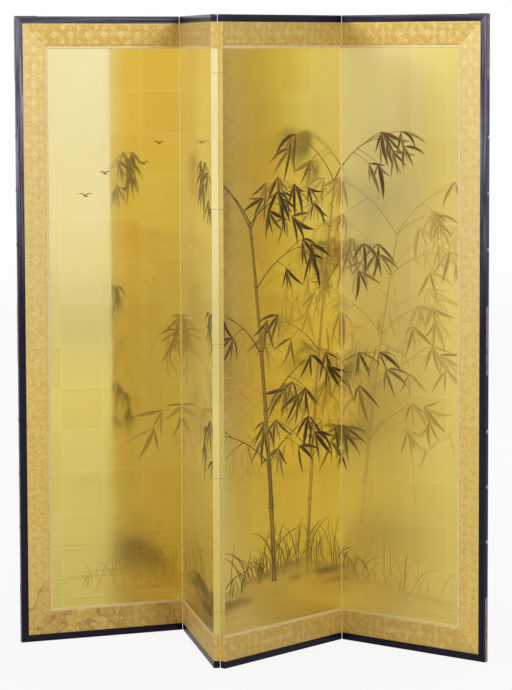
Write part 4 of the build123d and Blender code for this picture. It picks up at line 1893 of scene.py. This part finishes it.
@dataclass
class Fittings(Part):
    """Corner plates, middle plate, studs and pins on the screen's outer side."""

    point: float = 11 * MM
    notch: float = 1.5 * MM
    bevel: float = 0.9 * MM
    groove: float = 0.28 * MM
    cell: float = 1.1 * MM
    columns: int = 25
    line_inset: float = 1.7 * MM
    stem_sway: float = 1.9 * MM
    stem_wave: float = 19 * MM
    stud_radius: float = 5.5 * MM
    stud_rise: float = 2.8 * MM
    studs_between: int = 3
    pin_radius: float = 1.4 * MM
    pin_rise: float = 0.9 * MM
    first_pin: float = 26 * MM
    last_pin: float = 12 * MM

    def __post_init__(self) -> None:
        """Reads where the side and the plates on it lie."""
        self.side = self.panel.measure("outer_moulding")
        self.plates = self.panel.measure("corner_plates")
        self.middle = self.panel.measure("middle_plate")
        self.sign = -1.0 if self.panel.first else 1.0
        self.side_x = self.side.x[0] if self.panel.first else self.side.x[1]
        self.top_z = self.side.z[1]
        self.thickness = self.plates.z[1] - self.top_z
        self.half = self.plates.depth / 2
        self.leg_length = self.plates.width - self.thickness
        heights = node_points(self.panel.node("corner_plates"))[:, 2]
        self.corner_length = float(heights[heights < self.top_z / 2].max())

    def half_width(self, s: Grid, length: float, both: bool) -> Grid:
        """A plate's outline: straight, notched at its shoulders, then a pointed arch of two arcs.

        Args:
            s: places along the plate.
            length: from one end to the other.
            both: whether both ends are pointed.

        Returns:
            Half the width at each place.
        """
        result = np.full_like(s, self.half)
        radius = (self.point**2 + self.half**2) / (2 * self.half)
        for end in (length, 0.0) if both else (length,):
            ahead = np.abs(end - s)
            arch = np.sqrt(np.clip(radius**2 - (self.point - ahead) ** 2, 0, None)) - (radius - self.half)
            result = np.where(ahead < self.point, np.clip(arch, 0, None), result)
            near = np.abs(ahead - self.point)
            result = result - np.sqrt(np.clip(self.notch**2 - near**2, 0, None)) * (near < self.notch)
        return np.clip(result, 0.0, None)

    def plate(self, length: float, both: bool) -> Tuple[Grid, ...]:
        """A plate as a height over a plane.

        It falls away within the edge's bevel. A line is cut round just inside the edge, and a stem and its
        mirror image are chased as waves down the middle.

        Args:
            length: from one end to the other.
            both: whether both ends are pointed.

        Returns:
            Place along, place across, height and how proud the metal stands.
        """
        s = np.linspace(0, length, int(length / self.cell))[:, None]
        v = np.linspace(-1, 1, self.columns)[None, :]
        width = self.half_width(s, length, both)
        across, inside = v * width, (1 - np.abs(v)) * width
        rim = between(inside, 0, self.bevel)
        line = between(np.abs(inside - self.line_inset), 0.5 * MM, 0.15 * MM)
        sway = self.stem_sway * np.sin(s / self.stem_wave * math.tau)
        stem = between(np.abs(across - sway), 0.7 * MM, 0.25 * MM)
        shadow = between(np.abs(across + sway), 0.55 * MM, 0.2 * MM)
        chased = np.maximum(stem, 0.8 * shadow) * between(inside, 2.0 * MM, 2.6 * MM)
        height = self.thickness * (0.5 + 0.5 * rim) - self.groove * (line + 0.8 * chased)
        worn = rim * 0.4 + (1 - rim) * 0.9 * between(inside, -0.1 * MM, 0.3 * MM)
        return s + 0 * v, across, height, np.clip(worn - 0.5 * line - 0.4 * chased + 0.25, 0, 1)

    def shell(self, top: Grid, bottom: Grid, proud: Grid) -> Shape:
        """A closed plate between two grids of the same size.

        Args:
            top: places of the side that is seen.
            bottom: places of the side that lies on the moulding.
            proud: how proud the metal of the top stands.

        Returns:
            The plate.
        """
        rows, columns = top.shape[:2]
        count = rows * columns
        loop = edge_loop(rows, columns)
        after = np.roll(loop, -1)
        rim = np.stack([loop, loop + count, after + count, after], axis=1)
        faces = np.concatenate([grid_faces(rows, columns), grid_faces(rows, columns, count)[:, ::-1], rim])
        return Shape.of(np.stack([top, bottom]), [faces], {}, {"proud": np.stack([proud, proud * 0])})

    def on_side(self, s: Grid, across: Grid, height: Grid) -> Grid:
        """Points on the outer side face, s up from the floor."""
        return self.panel.place(self.side_x + self.sign * height, across, s)

    def side_plate(self, s: Grid, across: Grid, height: Grid, proud: Grid) -> Shape:
        """A plate on the outer side face, s up from the floor."""
        return self.shell(self.on_side(s, across, height), self.on_side(s, across, 0 * height), proud)

    def leg(self, on_top: bool) -> Shape:
        """A corner plate's leg: chased where it lies on the top, flat where it is let into the foot.

        Args:
            on_top: which of the two it is.

        Returns:
            The closed leg.
        """
        s, across, height, proud = self.plate(self.leg_length, False)
        x = self.side_x - self.sign * s
        outer, inner = (self.top_z + height, self.top_z) if on_top else (0.0, self.thickness)
        return self.shell(self.panel.place(x, across, outer), self.panel.place(x, across, inner), proud)

    def bend(self) -> Shape:
        """The upper corner plate's bend: a quarter turn round the corner of the side and the top.

        Returns:
            The closed bend.
        """
        turn = np.linspace(0, math.pi / 2, 7)[:, None]
        v = np.linspace(-1, 1, self.columns)[None, :] * self.half
        arc = self.thickness * (0.5 + 0.5 * between(self.half - np.abs(v), 0, self.bevel))
        x, z = self.side_x + self.sign * arc * np.cos(turn), self.top_z + arc * np.sin(turn)
        core = self.panel.place(self.side_x + 0 * x, v, self.top_z + 0 * z)
        return self.shell(self.panel.place(x, v, z), core, np.full(x.shape, 0.9))

    def dome(self, radius: float, rise: float, rings: int = 9, turns: int = 26) -> Tuple[Grid, ...]:
        """A cap, its radius going as a sine from pole to foot and its height as a cosine.

        Args:
            radius: of its foot.
            rise: of its pole.
            rings: from pole to foot.
            turns: points in each ring.

        Returns:
            Two places across it and the height, ring by ring.
        """
        share = np.linspace(0, 1, rings)[:, None]
        angle = np.linspace(0, math.tau, turns, endpoint=False)[None, :]
        r = radius * np.clip(np.sin(share * math.pi / 2), 0.02, None)
        h = rise * np.cos(share * math.pi / 2) ** 0.9
        return r * np.cos(angle), r * np.sin(angle), h + 0 * angle

    def nail(self, centre: float, radius: float, rise: float, base: float, on_top: bool = False) -> Shape:
        """A domed head whose foot is sunk a little.

        Args:
            centre: its height on the side, or on the top how far it stands in from the side.
            radius: of its foot.
            rise: of its crown over its foot.
            base: how far its foot stands over the moulding.
            on_top: whether it stands on the top.

        Returns:
            The closed head.
        """
        a, b, h = self.dome(radius, rise)
        a, b = np.concatenate([a, a[-1:]]), np.concatenate([b, b[-1:]])
        h = np.concatenate([h + base, 0 * h[-1:] + base - 0.2 * MM])
        if on_top:
            points = self.panel.place(self.side_x - self.sign * centre + a, b, self.top_z + h)
        else:
            points = self.on_side(centre + a, b, h)
        return loft(points, {}, {"proud": np.clip(h / (rise + base), 0, 1)})

    def studs(self) -> List[Shape]:
        """Places studs at even steps between the corner plates and the middle plate.

        Returns:
            The studs.
        """
        shares = np.arange(1, self.studs_between + 1) / (self.studs_between + 1)
        gaps = ((self.corner_length, self.middle.z[0]), (self.middle.z[1], self.top_z - self.corner_length))
        return [
            self.nail(low + (high - low) * share, self.stud_radius, self.stud_rise, 0.0)
            for low, high in gaps
            for share in shares
        ]

    def pins(self) -> List[Shape]:
        """Places pins near both ends of each plate, and of the leg on the top.

        Returns:
            The pins.
        """
        end = self.corner_length - self.last_pin
        heights = (
            self.first_pin, end, self.top_z - self.first_pin, self.top_z - end,
            self.middle.z[0] + self.last_pin, self.middle.z[1] - self.last_pin,
        )
        head = (self.pin_radius, self.pin_rise, self.thickness)
        on_top = (self.first_pin, self.leg_length - self.last_pin)
        return [self.nail(z, *head) for z in heights] + [self.nail(x, *head, on_top=True) for x in on_top]

    def build(self) -> None:
        """Makes the plates, studs and pins."""
        s, *rest = self.plate(self.corner_length, False)
        corners = [
            self.side_plate(s, *rest), self.side_plate(self.top_z - s, *rest),
            self.leg(on_top=True), self.leg(on_top=False), self.bend(),
        ]
        s, *rest = self.plate(self.middle.height, True)
        for shapes, name, node, smooth_angle in (
            (corners, "metal_corner_plates", "corner_plates", 50.0),
            ([self.side_plate(self.middle.z[0] + s, *rest)], "metal_middle_plate", "middle_plate", 50.0),
            (self.studs(), "metal_studs", "side_studs", 60.0),
            (self.pins(), "metal_pins", "plate_pins", 60.0),
        ):
            self.ride(joined(shapes), name, self.finishes.metal, "fittings", node, smooth_angle)


@dataclass
class FoldPapers(Part):
    """The paper and cloth over one of a panel's folding edges, the left or the right one."""

    side: str
    offset: float
    paper: float = 0.4 * MM
    slack: float = 0.05 * MM
    seam: float = 1.2 * MM
    step: float = 14 * MM

    def section(self) -> Grid:
        """The hinge paper's section: flat on the panel's edge, then slanting to a blunt tip at the axis.

        Returns:
            Points (along the panel, out of it), up the outer line, round the tip and back to the edge.
        """
        extent = self.panel.measure(f"{self.side}_hinge_papers")
        near, tip = sorted(abs(value) for value in extent.out)
        reach, paper = extent.width, self.paper
        depth = np.array([0.0, paper, paper, reach, reach, reach - paper, 0.0])
        out = np.array([-near, -near, near - self.slack, tip - paper, tip, tip, near + self.slack])
        x = extent.x[0] + depth if self.side == "right" else extent.x[1] - depth
        return np.stack([x, out * np.sign(sum(extent.out))], 1)

    def build(self) -> None:
        """Makes the edge's hinge bands, and the cloth that laps over their ends."""
        node = f"{self.side}_hinge_papers"
        brocade, gold = self.panel.measure("brocade_border"), self.panel.measure("gold_ground")
        section = self.section()
        heights = np.unique(np.round(node_points(self.panel.node(node))[:, 2], 5))
        bands = np.clip(heights.reshape(-1, 2), *gold.z)
        # Painted light: the bands on right edges get a painted highlight, those on left edges painted shade.
        bloom, edge_shade = (0.80, 0.0) if self.side == "right" else (0.0, 0.30)
        papers = joined([self.band(section, low, high, bloom, edge_shade) for low, high in bands])
        self.ride(papers, f"{self.side}_hinge_bands", self.finishes.gold, "hinge_paper", node, 35.0)
        laps = ((brocade.z[0], gold.z[0]), (gold.z[1], brocade.z[1]))
        cloth = joined([self.band(section, low, high, 0.0, 0.0) for low, high in laps])
        self.ride(cloth, f"{self.side}_edge_cloth", self.finishes.brocade, "brocade", smooth_angle=35.0)

    def band(self, section: Grid, low: float, high: float, bloom: float, edge_shade: float) -> Shape:
        """One band: the section carried up the edge, with painted shade in the seam where it meets the next
        band.

        Args:
            section: its points, along the panel and out of it.
            low: the band's lower end.
            high: its upper end.
            bloom: how strong the painted highlight on its leaf is at the top of the screen.
            edge_shade: how much painted shade darkens it.

        Returns:
            The closed band.
        """
        count = max(int((high - low) / self.step), 2)
        z = np.concatenate([[low], np.linspace(low + self.seam, high - self.seam, count), [high]])[:, None]
        x, out, z = np.broadcast_arrays(section[None, :, 0], section[None, :, 1], z)
        girth = np.concatenate([[0], np.cumsum(np.hypot(*np.diff(section, axis=0).T))])
        u = np.broadcast_to(girth[None, :], x.shape)
        # Painted shade over the band, darker in the seams at its two ends.
        shade_ink = np.full(x.shape, edge_shade)
        shade_ink[[0, -1]] = 0.5
        return loft(
            self.panel.place(x, out, z),
            {"panel": np.stack([self.offset + u, z], -1), "weave": np.stack([u, z - low], -1)},
            {"ink": shade_ink, "turned": np.zeros(x.shape), "bloom": bloom * between(z, 0.25, 1.50)},
        )


@dataclass
class Panel(Part):
    """One panel with everything on and in it."""

    picture: BambooPicture

    def build(self) -> None:
        """Makes or dresses each of the panel's pieces."""
        shared = (self.panel, self.finishes)
        GoldGround(*shared, self.picture).build()
        Borders(*shared).build()
        Mouldings(*shared).build()
        for side, outer in (("left", self.panel.first), ("right", self.panel.last)):
            if not outer:
                FoldPapers(*shared, side, self.picture.start(self.panel.number)).build()
        if self.panel.first or self.panel.last:
            Fittings(*shared).build()
        printed = PrintedPaper(f"printed_paper_{self.panel.number}", self.panel.turn).material()
        for piece, material in (
            ("back_paper", printed),
            ("core_stiles", self.finishes.cedar),
            ("core_rails", self.finishes.cedar),
            ("core_lattice", self.finishes.cedar),
            ("paper_linings", self.finishes.paper),
            ("moulding_nails", self.finishes.iron),
        ):
            dress(self.panel.node(piece), material)


# ---- The studio ----


@dataclass(frozen=True)
class Viewpoint:
    """Where the picture is taken from: a long lens a little to the right of the screen's middle."""

    heading: float = 11.322
    distance: float = 6.890
    aside: float = 0.0166
    eye_height: float = 1.6137
    pitch: float = 4.768
    roll: float = -0.193
    lens: float = 135.82
    shift: float = -0.1159
    film: float = 36.0
    farthest: float = 200.0

    def build(self) -> None:
        """Makes the camera."""
        camera = bpy.data.cameras.new("camera")
        camera.lens = self.lens
        camera.sensor_width = self.film
        camera.shift_y = self.shift
        camera.clip_end = self.farthest
        stand = bpy.data.objects.new("camera", camera)
        turn = math.radians(self.heading)
        ahead = Vector((-math.sin(turn), math.cos(turn), 0))
        right = Vector((math.cos(turn), math.sin(turn), 0))
        stand.location = -ahead * self.distance + right * self.aside + Vector((0, 0, self.eye_height))
        aim = Euler((math.radians(90 - self.pitch), 0, turn)).to_matrix()
        tilt = Euler((0, 0, math.radians(self.roll))).to_matrix()
        stand.rotation_euler = (aim @ tilt).to_euler()
        bpy.context.scene.collection.objects.link(stand)
        bpy.context.scene.camera = stand


@dataclass(frozen=True)
class Lamp:
    """One soft box."""

    name: str
    place: Rgb
    size: Tuple[float, float]
    watts: float
    aim: Rgb = (0.0, 0.0, 0.85)

    def build(self) -> None:
        """Makes the lamp and points it at the screen."""
        light = bpy.data.lights.new(self.name, "AREA")
        light.shape = "RECTANGLE"
        light.size, light.size_y = self.size
        light.energy = self.watts
        stand = bpy.data.objects.new(self.name, light)
        stand.location = self.place
        way = Vector(self.aim) - Vector(self.place)
        stand.rotation_euler = way.to_track_quat("-Z", "Y").to_euler()
        bpy.context.scene.collection.objects.link(stand)


@dataclass(frozen=True)
class Studio:
    """A pale floor that whitens with distance, a white surround and soft lamps."""

    floor_tone: Rgb = (0.62, 0.62, 0.63)
    white: Rgb = (1.0, 1.0, 1.0)
    ambient: float = 0.46
    floor_reach: float = 60.0
    whitening: Tuple[float, float] = (1.0, 16.0)
    lamps: Tuple[Lamp, ...] = (
        Lamp("left_high_box", (-4.7, -3.4, 3.5), (2.2, 1.6), 120.0),
        Lamp("right_high_box", (3.7, -4.7, 3.5), (2.2, 1.6), 120.0),
        Lamp("back_box", (1.5, 4.5, 3.6), (2.6, 2.0), 100.0),
    )

    def world(self) -> None:
        """White to the camera and to what reflects it, and a plain level of light on everything else."""
        graph = Graph("surround", world=True)
        camera, glossy, clear = graph.rays()
        levels = {"Value": camera.most(glossy.most(clear)), "To Min": self.ambient, "To Max": 1.0}
        strength = graph.field("ShaderNodeMapRange", None, levels)
        glow = graph.field("ShaderNodeBackground", None, {"Color": self.white, "Strength": strength})
        graph.node("ShaderNodeOutputWorld", None, {"Surface": glow})
        bpy.context.scene.world = graph.owner

    def floor(self) -> None:
        """A wide floor, pale near the screen and white far off, that still shows the screen's shadow."""
        graph = Graph("studio_floor")
        camera, glossy, clear = graph.rays()
        x, y, _ = graph.axes(graph.place())
        far = x.reach(y).rise(*self.whitening)
        share = camera * (0.89 + far * 0.09) + glossy.most(clear) * (0.30 + far * 0.62)
        matt = graph.field("ShaderNodeBsdfDiffuse", None, {"Color": self.floor_tone})
        glow = graph.field("ShaderNodeEmission", None, {"Color": self.white, "Strength": 1.0})
        mixed = graph.field("ShaderNodeMixShader", None, {0: share, 1: matt, 2: glow})
        graph.node("ShaderNodeOutputMaterial", None, {"Surface": mixed})
        reach = self.floor_reach
        corners = np.array([[-reach, -reach, 0], [reach, -reach, 0], [reach, reach, 0], [-reach, reach, 0]])
        made = Shape(corners, [np.array([[0, 1, 2, 3]])]).piece("studio_floor")
        made.data.materials.append(graph.owner)

    def build(self) -> None:
        """Sets the whole studio."""
        self.world()
        self.floor()
        for lamp in self.lamps:
            lamp.build()
        bpy.context.scene.view_settings.view_transform = "Standard"


def main() -> None:
    """Builds the screen panel by panel, then the studio round it."""
    logging.basicConfig(level=logging.INFO, format="%(name)s: %(message)s")
    finishes = Finishes()
    frames = [PanelFrame(number) for number in range(1, PANEL_COUNT + 1)]
    step = frames[1].measure("top_moulding").x[1] + FOLD_GAP
    picture = BambooPicture(step, frames[0].measure("outer_moulding").z[1])
    for panel in frames:
        Panel(panel, finishes, picture).build()
        log.info("panel %d is dressed", panel.number)
    Studio().build()
    Viewpoint().build()


if __name__ == "__main__":
    main()
